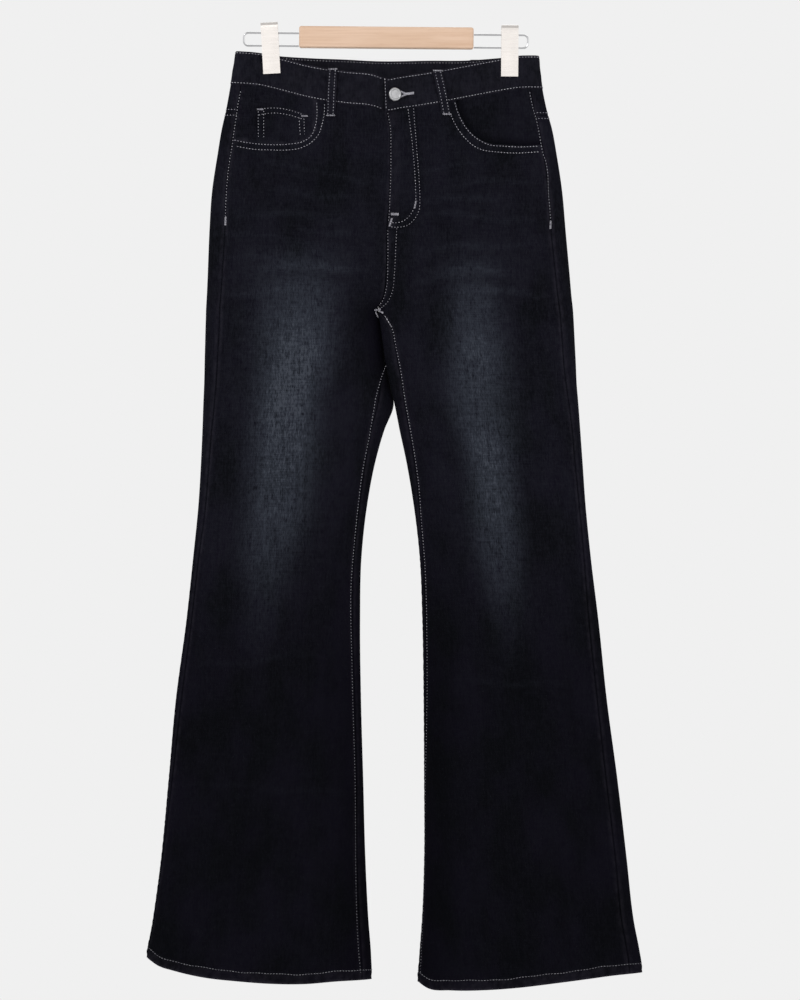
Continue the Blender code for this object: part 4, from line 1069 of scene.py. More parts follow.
def make_waistband(slots):
    profile = table(BAND_PROFILE_COLUMNS, BAND_PROFILE)
    ring = band_ring()
    sides = [side for side, _ in ring]
    s = np.array([value for _, value in ring])
    half = len(ring) // 2
    outer = np.empty((len(profile["down"]), len(ring), 3))
    inner = np.empty_like(outer)
    base_x = np.empty(len(ring))
    for side in SIDES:
        here = np.array([name == side for name in sides])
        base_x[here] = tube(side, s[here], BAND_BOTTOM)[:, 0]
    late = np.arange(len(ring)) > half
    front = np.mod(s, 2) < 1
    dip = np.where(late & front, ease((base_x - DIP_START_X) / DIP_RUN), 0.0)
    sunk = dip * (BAND_OUT + BAND_IN + LAY_GAP)
    from_end = np.where(late, np.where(front, UNDERLAP_X - base_x, 99.0),
                        np.where(front, base_x - OVERLAP_X, 99.0))
    full = rounded(from_end, BAND_END_ROUND) * 0.88 + 0.12
    marks = {name: np.empty(outer.shape[:2]) for name in ("fade", "tone", "wear")}
    for i, down in enumerate(profile["down"]):
        level = BAND_TOP + down
        lift_out = BAND_MIDDLE + (profile["out"][i] - BAND_MIDDLE) * full - sunk
        lift_in = BAND_MIDDLE + (profile["inside"][i] - BAND_MIDDLE) * full - sunk
        for side in SIDES:
            here = np.array([name == side for name in sides])
            drop = sheared(side, s[here], level)
            wave = 0.16 * np.sin(base_x[here] * 0.5 + down * 0.35)
            outer[i, here], inner[i, here] = layer(side, s[here], drop,
                                                   lift_out[here] + wave, lift_in[here])
            marks["tone"][i, here] = toned(drop)
        marks["fade"][i] = 0.02
        edge = min(down, profile["down"][-1] - down)
        marks["wear"][i] = 0.09 + rubbed("band", edge)
    made = shell("waistband_cloth", outer, inner, slots, marks)
    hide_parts("waistband")
    return made


def facing_lift(side, x, drop):
    """Give the level of the hip piece: sunk under the scoop's edge, flush elsewhere."""
    edge = scoop_curve(side)
    distance = distance_to(edge, x, drop)
    order = np.argsort(edge[:, 0])
    below = drop > np.interp(x, edge[order, 0], edge[order, 1]) - 0.1
    beyond = AWAY[side] * (x - edge[0, 0]) < 0
    return np.where(below | beyond, -FACING_INSET,
                    -FACING_INSET * (1 - ease((distance - 2) / FACING_RISE)))


def make_facing(side, slots):
    inner_x = SCOOPS[side][0][0] - AWAY[side] * SCOOP_MARGIN
    rows = []
    for level in np.linspace(BAND_BOTTOM, FACING_BOTTOM, FACING_ROWS):
        end = float(s_from_x(side, "front", inner_x, level))
        row, gaps = spaced(side, outseam_s(side, level), end,
                           lambda t: sheared(side, t, level), FACING_COLUMNS, (HALF_GAP, 0))
        rows.append((row, sheared(side, row, level), gaps))
    s, drop, distance = (np.array(part) for part in zip(*rows))
    drop[0] -= TUCK
    x = tube(side, s, drop)[..., 0]
    lift = facing_lift(side, x, drop)
    near_outseam = np.abs(x - outline(side, True, drop)[0]) < 40
    roll = np.where(near_outseam, rolled(distance), 0.0)
    outer, inner = layer(side, s, drop, lift + roll, lift - CLOTH)
    marks = cloth_marks(side, s, drop, 0.0)
    edge = distance_to(scoop_curve(side), x, drop)
    marks["tone"] = marks["tone"] - SCOOP_SHADOW[side] * bell(edge, SHADOW_WIDTH)
    made = shell("facing_cloth_" + side, outer, inner, slots, marks)
    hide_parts("pocket_facing_" + side)
    return made


def edged(part, size, width=1.6):
    """Give 1 inside a patch and a round fall to 0 at both ends of this direction."""
    gap = np.minimum(part, 1 - part) * size
    return rounded(gap, width)


def close_ends(count, size):
    """Give parts from 0 to 1 with extra ones close to both ends."""
    near = np.array([0.0, 0.25, 0.7, 1.4]) / size
    return np.concatenate([near, np.linspace(2.2 / size, 1 - 2.2 / size, count),
                           (1 - near)[::-1]])


def make_coin_pocket(slots):
    top = table(COIN_TOP_COLUMNS, COIN_TOP)
    edge = scoop_curve("right", 10)
    order = np.argsort(edge[:, 0])
    across = close_ends(26, COIN_SIZE[0])
    down = close_ends(16, COIN_SIZE[1])[:, None]
    xs = top["x"][0] + (top["x"][-1] - top["x"][0]) * across
    upper = smooth(top["x"], top["drop"], xs)
    lower = np.interp(xs, edge[order, 0], edge[order, 1]) - COIN_BOTTOM_GAP
    drop = upper + (lower - upper) * down
    x = np.broadcast_to(xs, drop.shape)
    s = s_from_x("right", "front", x, drop)
    base = facing_lift("right", x, drop) + LAY_GAP
    body = np.minimum(edged(across, COIN_SIZE[0]), edged(down, COIN_SIZE[1]))
    outer, inner = layer("right", s, drop, base + 0.15 + (PATCH - 0.15) * body, base)
    wear = rubbed("coin", down * COIN_SIZE[1]) * np.ones(drop.shape)
    made = shell("coin_pocket_cloth", outer, inner, slots,
                 cloth_marks("right", s, drop, wear))
    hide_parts("coin_pocket")
    return made


def make_fly(slots):
    curve = table(FLY_COLUMNS, FLY_CURVE)
    below_band = sheared("left", 0.99, BAND_BOTTOM) + HALF_GAP
    part = np.concatenate([np.linspace(0, 0.78, 42), np.linspace(0.8, 1.0, 26)])[:, None]
    drops = below_band + (curve["drop"][-1] - below_band) * part
    across = close_ends(12, 34)
    start = outline("left", np.array(True), drops)[1]
    x = start + (smooth(curve["drop"], curve["x"], drops) - start) * across
    seam = waistline("front_seam", x) + 2 * HALF_GAP
    drop = seam + (drops - seam) * ease(part / 0.16)
    s = np.minimum(s_from_x("left", "front", x, drop), 0.999999)
    edge = distance_to(np.stack([curve["x"], curve["drop"]], axis=1)[1:], x, drop)
    taper = ease(edge / 3.2)
    fold = rounded(x - x[:, :1], 0.9) * 0.8 + 0.2
    lift_out = 0.1 + (LAY_GAP + PATCH - 0.1) * taper * fold
    lift_in = np.minimum(LAY_GAP, lift_out - 0.05)
    outer, inner = layer("left", s, drop, lift_out, lift_in)
    from_fold = x - x[:, :1]
    wear = rubbed("fly", from_fold) + rubbed("fly_row", from_fold)
    made = shell("fly_cloth", outer, inner, slots, cloth_marks("left", s, drop, wear))
    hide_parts("fly")
    return made


def back_pocket_grid(side, across, down):
    """Give s and drop of places on a back pocket, both given as parts from 0 to 1."""
    shape = table(BACK_POCKET_COLUMNS, BACK_POCKET)
    height = BACK_POCKET[-1][0]
    near = smooth(shape["down"], shape["near_centre"], down * height)
    far = smooth(shape["down"], shape["near_side"], down * height)
    x = AWAY[side] * (near + (far - near) * across)
    point = BACK_POCKET_POINT * (1 - np.abs(2 * across - 1)) * down
    drop = BACK_POCKET_TOP + down * height + point
    return s_from_x(side, "back", x, drop), drop


def make_back_pocket(side, slots):
    width, height = BACK_POCKET_SIZE
    across = close_ends(34, width)[None, :]
    down = close_ends(36, height)[:, None]
    s, drop = back_pocket_grid(side, across, down)
    body = np.minimum(edged(across, width), edged(down, height))
    lift = BACK_POCKET_GAP + 0.1 + (PATCH - 0.1) * body
    outer, inner = layer(side, s, drop, lift, BACK_POCKET_GAP)
    made = shell("back_pocket_cloth_" + side, outer, inner, slots,
                 cloth_marks(side, s, drop, 0.3 * (1 - body)))
    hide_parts("back_pocket_" + side)
    return made


def loop_place(name, across, part):
    """Give side, s, drop and standoff of places on a belt loop."""
    face, x_top, x_bottom, drop_top, drop_bottom = BELT_LOOPS[name]
    x = x_top + (x_bottom - x_top) * part + across
    drop = drop_top + (drop_bottom - drop_top) * part
    knots = np.linspace(0, 1, len(LOOP_STANDOFF))
    return face, x, drop, smooth(knots, LOOP_STANDOFF, part)


def loop_points(name, across, part, lift):
    """Give the points of places on a belt loop, at a lift over its underside."""
    face, x, drop, standoff = loop_place(name, across, part)
    x, drop, lift = np.broadcast_arrays(x, drop, standoff + lift)
    right = lifted("right", s_from_x("right", face, np.minimum(x, -0.01), drop), drop, lift)
    left = lifted("left", s_from_x("left", face, np.maximum(x, 0.01), drop), drop, lift)
    return np.where(x[..., None] < 0, right, left)


def make_belt_loop(name, slots):
    across = np.concatenate([[-5.25, -5.1, -4.7, -4.0], np.linspace(-3.2, 3.2, 7),
                             [4.0, 4.7, 5.1, 5.25]])[None, :]
    height = BELT_LOOPS[name][4] - BELT_LOOPS[name][3]
    part = close_ends(24, height)[:, None]
    side_gap = LOOP_WIDTH / 2 - np.abs(across)
    body = np.minimum(rounded(side_gap, 1.2),
                      edged(part, height, 1.4))
    groove = 0.22 * bell(across, 1.1)
    cloth = 0.25 + (LOOP_CLOTH - 0.25) * body - groove
    outer = loop_points(name, across, part, cloth)
    inner = loop_points(name, across, part, 0.0)
    shape = outer.shape[:2]
    marks = {"fade": np.full(shape, 0.03), "tone": np.full(shape, 1.6),
             "wear": np.broadcast_to(0.10 + 0.32 * (1 - body), shape)}
    made = shell("belt_loop_cloth_" + name, outer, inner, slots, marks)
    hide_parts("belt_loop_" + name)
    return made


# ---------------------------------------------------------------- sewing
THREAD_RADIUS = 0.40
STITCH = 3.45                # from one stitch to the next
STITCH_FILL = 0.44           # how much of that the thread shows
CLOSE_FILL = 0.60            # and in the tighter rows of the band and the scoops
THREAD_SINK = 0.30           # a stitch's ends dip this far into the cloth

SIDES_ROUND = 5              # sides of a stitch's section
CAPSULE = ((0.12, 0.72, 0.05), (0.5, 1.0, 0.30), (0.88, 0.72, 0.05))   # rings: part of
                             # the length, share of the radius and rise


class Threads:
    """Collects stitches, each a small capsule from one point to another."""

    def __init__(self):
        self.starts, self.ends, self.normals = [], [], []
        self.radii, self.bright = [], []

    def add(self, start, end, normal, radius=THREAD_RADIUS, bright=1.0):
        start, end, normal = (np.asarray(part, float).reshape(-1, 3)
                              for part in (start, end, normal))
        self.starts.append(start)
        self.ends.append(end)
        self.normals.append(normal)
        self.radii.append(np.full(len(start), radius))
        self.bright.append(np.broadcast_to(bright, len(start)))

    def build(self, name, made):
        start, end = np.concatenate(self.starts), np.concatenate(self.ends)
        normal, radius = np.concatenate(self.normals), np.concatenate(self.radii)[:, None]
        run = end - start
        length = np.linalg.norm(run, axis=1, keepdims=True)
        along = run / np.maximum(length, 1e-6)
        side = np.cross(along, normal)
        side /= np.maximum(np.linalg.norm(side, axis=1, keepdims=True), 1e-6)
        up = np.cross(side, along)
        count = len(start)
        turns = np.arange(SIDES_ROUND) * 2 * math.pi / SIDES_ROUND + math.pi / 2
        rings = []
        for part, size, rise in CAPSULE:
            middle = start + run * part + up * rise
            rings += [middle + radius * size * (side * math.cos(turn) + up * math.sin(turn))
                      for turn in turns]
        verts = np.stack([start - up * THREAD_SINK, *rings, end - up * THREAD_SINK], axis=1)
        corners = verts.shape[1]
        shape = [(0, 1 + (k + 1) % SIDES_ROUND, 1 + k) for k in range(SIDES_ROUND)]
        for ring in range(1, corners - 1 - SIDES_ROUND, SIDES_ROUND):
            for k in range(SIDES_ROUND):
                near, far = ring + k, ring + (k + 1) % SIDES_ROUND
                shape.append((near, far, far + SIDES_ROUND, near + SIDES_ROUND))
        last = corners - 1 - SIDES_ROUND
        shape += [(last + k, last + (k + 1) % SIDES_ROUND, corners - 1)
                  for k in range(SIDES_ROUND)]
        faces = []
        for face in shape:
            faces += (np.array(face) + np.arange(count)[:, None] * corners).tolist()
        each_ring = [1] + [SIDES_ROUND] * len(CAPSULE) + [1]
        round_it = np.tile(np.arange(SIDES_ROUND) * 0.5, len(CAPSULE))
        grain = np.stack([
            np.tile(np.repeat([0, 0.3, 1.5, 2.7, 3.0], each_ring), count),
            np.tile(np.concatenate([[0], round_it, [0]]), count),
            np.repeat(np.arange(count) * 0.71, corners)], axis=1)
        marks = {"grain": grain, "tone": np.repeat(np.concatenate(self.bright), corners)}
        return as_object(name, verts.reshape(-1, 3), faces, [made], np.zeros(len(faces)),
                         marks, sharp=180)


def along_path(knots, step=0.5):
    """Give evenly spaced points of a smooth path through (x, drop) knots."""
    knots = np.array(knots, float)
    at = lengths(knots)
    fine = np.linspace(0, at[-1], max(int(at[-1] / step), 4))
    if len(knots) == 2:
        return read_at(fine, at, knots)
    return np.stack([smooth(at, knots[:, k], fine) for k in (0, 1)], axis=1)


def from_photo(knots):
    """Turn places in the photograph's pixels into (x, drop)."""
    return [((px - PIXEL_X) * PIXEL, (py - PIXEL_Y) * PIXEL) for px, py in knots]


def on_cloth(side, face, path, lift):
    """Give points and normals of a path on the surface, lifted over it."""
    x, drop = path[:, 0], path[:, 1]
    s = s_from_x(side, face, x, drop)
    if face == "front":
        s = np.minimum(s, 0.9995)
    return lifted(side, s, drop, lift), outward(side, s, drop)


def stitch_points(threads, points, normals, radius=THREAD_RADIUS, pitch=STITCH,
                  fill=STITCH_FILL, bright=1.0):
    """Sew one row of stitches along a line of points."""
    at = lengths(points)
    count = max(int(round(at[-1] / pitch)), 1)
    pitch = at[-1] / count
    first = (np.arange(count) + (1 - fill) / 2) * pitch
    last = first + fill * pitch
    start, end = (read_at(where, at, points) for where in (first, last))
    normal = read_at((first + last) / 2, at, normals)
    if callable(bright):
        bright = bright(-start[:, 2])
    threads.add(start, end, normal, radius, bright)


def sew_row(threads, side, s, drop, lift, **how):
    """Sew a row through places on the surface, on the inside if it lies under it."""
    face = 1 if how.pop("outside", True) else -1
    stitch_points(threads, lifted(side, s, drop, lift), face * outward(side, s, drop), **how)


def sew(threads, side, face, knots, lift, **how):
    points, normals = on_cloth(side, face, along_path(knots), lift)
    stitch_points(threads, points, normals, **how)


def satin(threads, side, face, knots, width, lift, pitch=0.62, radius=0.28):
    """Lay close threads across a path, as in a bartack or a buttonhole's edge."""
    path = along_path(knots, 0.25)
    ways = np.gradient(path, axis=0)
    ways /= np.maximum(np.linalg.norm(ways, axis=1, keepdims=True), 1e-6)
    across = np.stack([-ways[:, 1], ways[:, 0]], axis=1) * width / 2
    at = lengths(path)
    where = np.linspace(0, at[-1], max(int(at[-1] / pitch), 2))
    ends = []
    for sign, shift in ((-1, 0.0), (1, 0.22)):
        line = path + sign * across
        ends.append(on_cloth(side, face, read_at(where + shift, at, line), lift))
    threads.add(ends[0][0], ends[1][0], ends[0][1], radius)


FLAT = 0.12                  # a thread's middle lies this far over the cloth
ON_PATCH = LAY_GAP + PATCH + FLAT
ON_BAND = BAND_OUT + FLAT
ON_WELT = WELT + FLAT
ROW_GAP = 6.4                # between the two rows of a double seam
BAND_END_ROW = ((384.9, 79.5), (386.3, 110.5))
YOKE_ROWS = (-3.0, 3.5)      # the double row at the yoke seam, from the seam
POCKET_ROWS_DOWN = (0.025, 0.055, 0.945, 0.975)  # parts of a back pocket's width
POCKET_ROWS_ACROSS = (0.03, 0.12, 0.935, 0.975)  # and of its height
TOP_ROW = 2.0                # the band's rows run this far inside its edges
HEM_ROW = 11.3               # the hem's row runs this far above its edge

FLY_FOLD = ((385.9, 113.7), (388.6, 122), (389.8, 129.6), (390.2, 161), (389.9, 189),
            (389.6, 211.7), (388.7, 223))
FLY_OUTER = ((413.3, 109), (416.7, 152), (419.5, 189.3), (419.8, 200.5), (418.9, 211.7),
             (414.8, 220), (407.3, 226.7), (398, 228.5), (390.5, 228))
FLY_INNER = ((407.9, 110), (412.9, 152), (415.4, 189), (415.4, 204), (412, 213.6),
             (405.5, 221), (398, 223.9), (391.5, 223.9))
FLY_TACKS = (((391.2, 215.4), (398.4, 215.6), 3.6), ((392.0, 219.5), (389.6, 227.4), 2.6),
             ((415.9, 202.4), (414.6, 209.4), 2.2))          # from, to, and width in mm
BUTTONHOLE = (((400.9, 93.2), (406.2, 95.5), 2.6, 0.40),     # from, to, width and radius
              ((400.9, 98.2), (406.2, 95.7), 2.6, 0.40),
              ((406.0, 95.5), (413.6, 94.6), 3.4, 0.42))
CROTCH_TACKS = (((374.4, 310.4), (381.0, 309.6)), ((375.4, 312.4), (378.0, 317.6)),
                ((379.8, 311.4), (383.6, 313.4)))
RISE = (((387.9, 230.5), (388, 264), (386.8, 288), (383, 301), (374.7, 310.4)),
        ((397.6, 219), (396, 245), (394.6, 273), (392, 294), (387.7, 303), (381, 308.8)))
SCOOP_ROWS = {
    "right": (((317, 103), (317.4, 111), (317, 119.8), (315, 129.4), (311.8, 136.6),
               (304, 142.2), (289, 145), (273, 145.6), (257, 144.6), (241, 142.2),
               (234, 140.6)),
              ((325, 104.6), (324.6, 115), (322.6, 124.6), (319.4, 134.6), (312, 143.2),
               (301, 149), (285, 151), (273, 150.8), (255.4, 150.2), (236.4, 147))),
    "left": (((454.4, 103), (457.2, 112.3), (462.3, 123.5), (471.7, 135.7), (481, 142.2),
              (488.5, 145.5), (504.3, 147.0), (518.3, 147.8), (537.8, 147.0)),
             ((447.4, 104.1), (451.8, 118.9), (456.7, 128.3), (465.1, 139.5), (473.5, 146.9),
              (482.9, 151.1), (494, 152.6), (513.7, 153.9), (538.8, 152.6)))}
OUTSEAM = {
    "right": ((241, 91), (237.8, 107), (236.2, 119.8), (233.8, 135.8), (232.6, 147),
              (230.6, 158.2), (227.6, 185.6), (225.8, 224.8)),
    "left": ((529.5, 91.8), (533.3, 110.5), (536, 119.8), (537.9, 128.2), (540.3, 142.2),
             (543, 155.3), (544.5, 159.5), (548.3, 198.7), (550.7, 229.5))}
OUTSEAM_TACK = {"right": (226.4, 218, 226), "left": (550.2, 222, 229.5)}
INSEAM = {
    "right": ((385.7, 365), (381.6, 377), (376, 397.6), (372.8, 416.3), (368.9, 438.7),
              (363.3, 466.7), (358.3, 504), (354.5, 541.3), (351.3, 580), (352, 666.7),
              (355.3, 800), (355.4, 820), (359.5, 960), (360.7, 973)),
    "left": ((385.0, 316), (391.3, 326.7), (396.5, 349), (400.3, 367.7), (404.9, 397.6),
             (410.5, 429.3), (415.2, 457.3), (418.9, 485.3), (421.7, 522.7), (424.5, 556.3),
             (427.3, 666.7), (425.3, 800), (424.7, 866.7), (420.7, 973))}
COIN_ROWS = (((257.2, 110.2), (264.2, 109.2), (276.2, 108.6), (289, 110.6), (303, 115.4)),
             ((257.8, 115.8), (273, 113.6), (289, 115.6), (303, 120.0)),
             ((258.4, 111), (258.6, 141.5)), ((263.8, 110.5), (264, 142)),
             ((299.6, 117.4), (300.8, 139.6)), ((304.4, 118.6), (304.9, 136.4)))


def inseam_bright(drop):
    """Give how pale the inseam's thread is drawn: paler at the top, darker towards the hem."""
    return 0.92 - 0.56 * ease((drop - 420) / 420)


def sew_scoops_and_seams(threads, side):
    for row in SCOOP_ROWS[side]:
        sew(threads, side, "front", from_photo(row), ON_WELT, fill=CLOSE_FILL)
    sew(threads, side, "front", from_photo(OUTSEAM[side]), LIP + FLAT)
    px, top, bottom = OUTSEAM_TACK[side]
    satin(threads, side, "front", from_photo(((px, top), (px - 0.4, bottom))), 2.6,
          LIP + FLAT + 0.1)
    sew(threads, side, "front", from_photo(INSEAM[side]), FLAT + 0.1, radius=0.44,
        bright=inseam_bright)
    if side == "left":
        sew(threads, side, "front", from_photo(INSEAM[side][:2]), FLAT + 0.35, fill=0.95)


def sew_hem(threads, side):
    """Sew the hem's row all round the leg, parallel to its edge."""
    level = HEM - HEM_ROW
    front, back = front_row(side, level)[0], back_row(side, level)[0]
    for s, here in ((front, np.array(level)), (back, back_level(back, level))):
        drop = sheared(side, s, here)
        points = lifted(side, s, drop, HEM_OUT + FLAT + 0.05)
        sway = points[:, 0]
        points[:, 2] += 0.5 * np.sin(sway * 0.085) + 0.35 * np.sin(sway * 0.21 + 1.0)
        stitch_points(threads, points, outward(side, s, drop), pitch=3.3, fill=0.75,
                      bright=0.42)


def across_rise(path, lift):
    """Give points and normals of a front path that may cross the centre seam."""
    seam = outline("right", np.array(True), path[:, 1])[1] + HALF_GAP
    left, left_normals = on_cloth("left", "front", path, lift)
    right, right_normals = on_cloth("right", "front", path, lift)
    on_left = (path[:, 0] > seam)[:, None]
    return np.where(on_left, left, right), np.where(on_left, left_normals, right_normals)


def sew_fly(threads):
    sew(threads, "left", "front", from_photo(FLY_FOLD), ON_PATCH, radius=0.50, bright=0.66)
    for row in (FLY_OUTER, FLY_INNER):
        sew(threads, "left", "front", from_photo(row), ON_PATCH, bright=0.9)
    for *knots, width in FLY_TACKS:
        satin(threads, "left", "front", from_photo(knots), width, ON_PATCH + 0.1)
    for knots in RISE:
        points, normals = across_rise(along_path(from_photo(knots)), FLAT + 0.15)
        stitch_points(threads, points, normals, bright=0.75)


def sew_crotch(threads):
    for knots in CROTCH_TACKS:
        path = along_path(from_photo(knots), 0.25)
        for shift in (-0.7, 0.0, 0.7):
            points, normals = across_rise(path + (0.0, shift), FLAT + 0.15)
            stitch_points(threads, points, normals, pitch=1.7, fill=0.9)


def sew_coin_pocket(threads):
    for row in COIN_ROWS:
        path = along_path(from_photo(row))
        base = facing_lift("right", path[:, 0], path[:, 1]) + LAY_GAP + PATCH + FLAT
        points, normals = on_cloth("right", "front", path, base)
        stitch_points(threads, points, normals)
    for px, py in ((257.8, 109.8), (302.4, 116.8)):
        path = np.array(from_photo(((px - 0.5, py), (px + 5.5, py + 0.2))))
        base = float(facing_lift("right", path[:1, 0], path[:1, 1])[0])
        satin(threads, "right", "front", path, 2.2, base + LAY_GAP + PATCH + FLAT + 0.1)


def band_drop(side, s, inside_edge):
    """Give the drop of a row on the waistband, from its top (+) or its bottom (-)."""
    level = BAND_TOP + inside_edge if inside_edge > 0 else BAND_BOTTOM + inside_edge
    return sheared(side, s, np.array(level))


def sew_band(threads):
    """Sew the rows all round the band, and its end."""
    for side in SIDES:
        for start, end in ((0.0, 0.9999), (1.0, 2.0)):
            s = np.linspace(start, end, 420)
            sunk = np.zeros(s.shape)
            if side == "right" and start == 0.0:
                x = tube(side, s, BAND_BOTTOM)[:, 0]
                s, x = s[x < OVERLAP_X - 2.6], x[x < OVERLAP_X - 2.6]
                sunk = ease((x - DIP_START_X) / DIP_RUN) * (BAND_OUT + BAND_IN + LAY_GAP)
            for edge in (TOP_ROW, -TOP_ROW - HALF_GAP):
                sew_row(threads, side, s, band_drop(side, s, edge), ON_BAND - sunk,
                        fill=CLOSE_FILL)
            for edge in (TOP_ROW + 0.6, -TOP_ROW):
                sew_row(threads, side, s, band_drop(side, s, edge),
                        -BAND_IN - FLAT - sunk, outside=False)
    points, normals = across_rise(along_path(from_photo(BAND_END_ROW)), ON_BAND)
    stitch_points(threads, points, normals, fill=CLOSE_FILL)


def sew_buttonhole(threads):
    for *knots, width, radius in BUTTONHOLE:
        satin(threads, "left", "front", from_photo(knots), width, ON_BAND, radius=radius)


def sew_belt_loop(threads, name):
    height = BELT_LOOPS[name][4] - BELT_LOOPS[name][3]
    part = np.linspace(0.035, 0.965, 120)
    for across in (-3.0, 3.0):
        points = loop_points(name, np.full(part.shape, across), part, LOOP_CLOTH + 0.05)
        ahead = loop_points(name, np.full(part.shape, across), part, LOOP_CLOTH + 1.05)
        stitch_points(threads, points, ahead - points, radius=0.42)
    for middle in (0.030, 0.970):
        where = np.linspace(-LOOP_WIDTH / 2 + 0.7, LOOP_WIDTH / 2 - 0.7, 14)
        long = 0.9 + 0.35 * np.sin(where * 2.3 + middle * 9)
        tops = loop_points(name, where, middle - long / height, LOOP_CLOTH - 0.12)
        lows = loop_points(name, where + 0.3, middle + long / height, LOOP_CLOTH - 0.12)
        up = loop_points(name, where, middle, LOOP_CLOTH + 1.0) - loop_points(
            name, where, middle, LOOP_CLOTH)
        threads.add(tops, lows, up, 0.30)


def sew_back(threads, side):
    """Sew the seat's hidden side: yoke rows, pocket rows and the seat seam's rows."""
    ends = inseam_s(side, YOKE_SIDE) + 0.01, 2 + outseam_s(side, YOKE_SIDE) - 0.01
    s = np.linspace(ends[0], ends[1], 420)
    for below in YOKE_ROWS:
        sew_row(threads, side, s, sheared(side, s, yoke_level(s)) + below, FLAT)
    down = np.linspace(0.01, 0.97, 160)
    across = np.linspace(0.03, 0.97, 200)
    rows = [(np.full(down.shape, inset), down) for inset in POCKET_ROWS_DOWN]
    rows += [(across, np.full(across.shape, inset)) for inset in POCKET_ROWS_ACROSS]
    for row in rows:
        sew_row(threads, side, *back_pocket_grid(side, *row), BACK_POCKET_GAP + PATCH + FLAT)
    levels = np.linspace(CROTCH - 12, YOKE_CENTRE + 8, 90)
    centre = outline(side, np.array(False), levels)[1]
    for gap in ((2.0, 2.0 + ROW_GAP) if side == "left" else ()):
        x = centre + AWAY[side] * gap
        s = s_from_x(side, "back", x, levels)
        sew_row(threads, side, s, levels, FLAT + 0.2)


def make_threads(made):
    """Sew the six groups, each with its steps for each side, for each loop or once."""
    sides, loops, once = [(side,) for side in SIDES], [(name,) for name in BELT_LOOPS], [()]
    for name, steps, each in (
            ("stitching_fronts", (sew_scoops_and_seams, sew_hem), sides),
            ("stitching_waist", (sew_band, sew_buttonhole), once),
            ("stitching_fly", (sew_fly, sew_crotch), once),
            ("stitching_coin_pocket", (sew_coin_pocket,), once),
            ("stitching_loops", (sew_belt_loop,), loops),
            ("stitching_backs", (sew_back,), sides)):
        threads = Threads()
        for which in each:
            for step in steps:
                step(threads, *which)
        threads.build(name, made)


# ---------------------------------------------------------------- camera, light, floor
CAMERA_X = 0.0153
CAMERA_AWAY = 5.0
CAMERA_Z = -0.5345
LENS = 159.3
FLOOR_Z = -1.30
FLOOR_RADIUS = 1.4
FLOOR_CORNERS = 96
FLOOR_COLOUR = (0.95, 0.95, 0.95)


def make_camera():
    data = bpy.data.cameras.new("camera")
    data.lens = LENS
    data.sensor_fit = "HORIZONTAL"
    data.sensor_width = 28.8
    camera = bpy.data.objects.new("camera", data)
    camera.location = (CAMERA_X, -CAMERA_AWAY, CAMERA_Z)
    camera.rotation_euler = (math.pi / 2, 0, 0)
    bpy.context.scene.collection.objects.link(camera)
    bpy.context.scene.camera = camera


LIGHT_COLUMNS = ("name", "place", "size", "watts")
LIGHTS = (("key", (-1.5, -2.6, 1.3), (1.6, 1.6), 21.0),
          ("fill", (1.9, -2.4, 0.2), (1.8, 1.8), 5.0),
          ("rear", (0.6, 2.4, 1.2), (1.8, 1.4), 10.0),
          ("low", (0.0, -2.2, -1.1), (1.8, 0.8), 2.0))
AIM = Vector((0.0, 0.0, -0.55))
WORLD_LEVELS = ((0.37, 0.871), (0.63, 0.871))    # from straight down (0) to up (1)
WORLD_ENDS = 0.48


def make_lights():
    for row in LIGHTS:
        lamp = dict(zip(LIGHT_COLUMNS, row))
        data = bpy.data.lights.new(lamp["name"], "AREA")
        data.shape = "RECTANGLE"
        data.size, data.size_y = lamp["size"]
        data.energy = lamp["watts"]
        light = bpy.data.objects.new(lamp["name"], data)
        light.location = lamp["place"]
        aim = AIM - Vector(lamp["place"])
        light.rotation_euler = aim.to_track_quat("-Z", "Y").to_euler()
        bpy.context.scene.collection.objects.link(light)


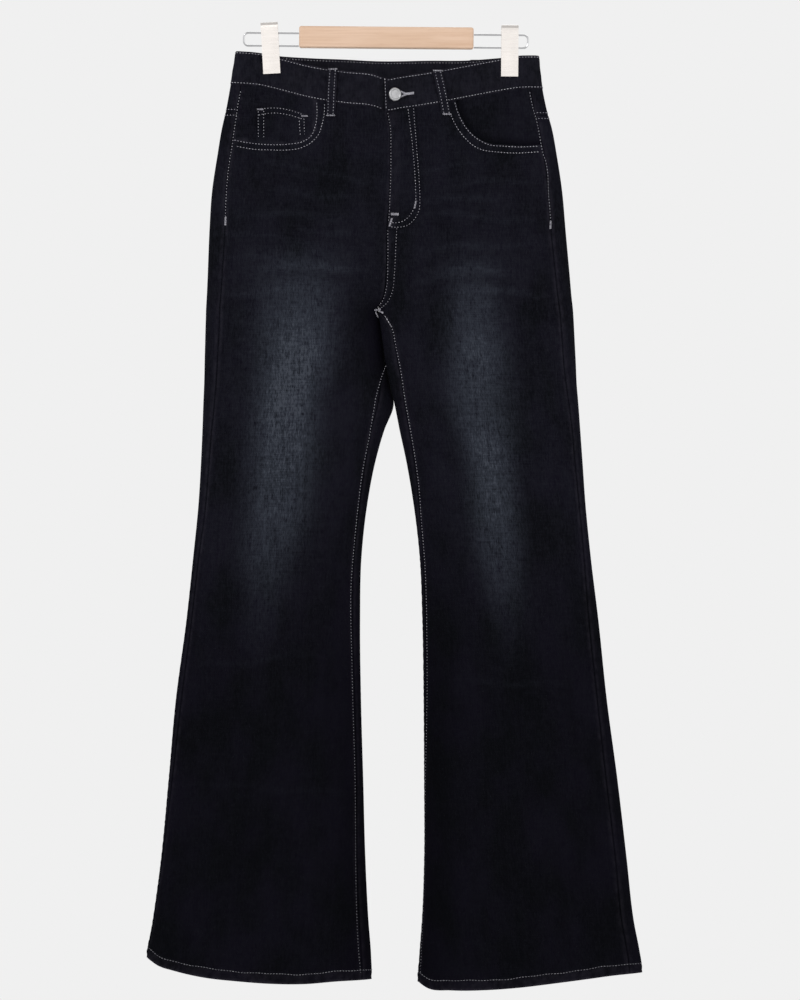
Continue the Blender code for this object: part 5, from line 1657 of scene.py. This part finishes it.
def make_world():
    """Pale all round the horizon, dimmer overhead and below."""
    world = bpy.data.worlds.new("pale_studio")
    graph = Graph(world)
    parts = graph.node("SeparateXYZ")
    graph.put(parts.inputs[0], graph.node("TexCoord").outputs["Generated"])
    ramp = graph.node("ValToRGB")
    graph.put(ramp.inputs["Fac"], graph.ranged(parts.outputs["Z"], -1.0, 1.0))
    for part, level in WORLD_LEVELS:
        stop = ramp.color_ramp.elements.new(part)
        stop.color = (level, level, level, 1.0)
    for spare in (ramp.color_ramp.elements[-1], ramp.color_ramp.elements[0]):
        spare.color = (WORLD_ENDS, WORLD_ENDS, WORLD_ENDS, 1.0)
    graph.put(graph.tree.nodes["Background"].inputs["Color"], ramp.outputs["Color"])
    bpy.context.scene.world = world


def make_floor():
    turns = np.arange(FLOOR_CORNERS) * 2 * math.pi / FLOOR_CORNERS
    verts = [(FLOOR_RADIUS * math.cos(turn), FLOOR_RADIUS * math.sin(turn), FLOOR_Z)
             for turn in turns]
    mesh = bpy.data.meshes.new("floor")
    mesh.from_pydata(verts, [], [list(range(FLOOR_CORNERS))])
    paint = Graph(bpy.data.materials.new("pale_floor"))
    mesh.materials.append(paint.finished(FLOOR_COLOUR, 0.9, 0.5))
    floor = bpy.data.objects.new("floor", mesh)
    bpy.context.scene.collection.objects.link(floor)


def dress(node, made):
    thing = bpy.data.objects[node]
    for slot in thing.material_slots:
        slot.material = made


def main():
    denim = [make_denim("denim_cloth", 0.025), make_denim("denim_inside", 0.06)]
    pieces = []
    for side in SIDES:
        pieces.append(make_leg_panel(side, "front", denim))
        pieces.append(make_leg_panel(side, "back", denim))
        pieces.append(make_yoke(side, denim))
        pieces.append(make_facing(side, denim))
        pieces.append(make_back_pocket(side, denim))
    pieces.append(make_waistband(denim))
    pieces.append(make_coin_pocket(denim))
    pieces.append(make_fly(denim))
    pieces += [make_belt_loop(name, denim) for name in BELT_LOOPS]
    make_threads(make_thread_material())
    dress("hanger_bar", make_wood())
    for row in METALS:
        metal = dict(zip(METAL_COLUMNS, row))
        made = make_metal(metal["name"], metal["colour"], metal["roughness"], metal["brush"])
        for node in metal["nodes"]:
            dress(node, made)
    make_camera()
    make_lights()
    make_world()
    make_floor()
    bpy.context.scene.view_settings.view_transform = "Standard"


main()
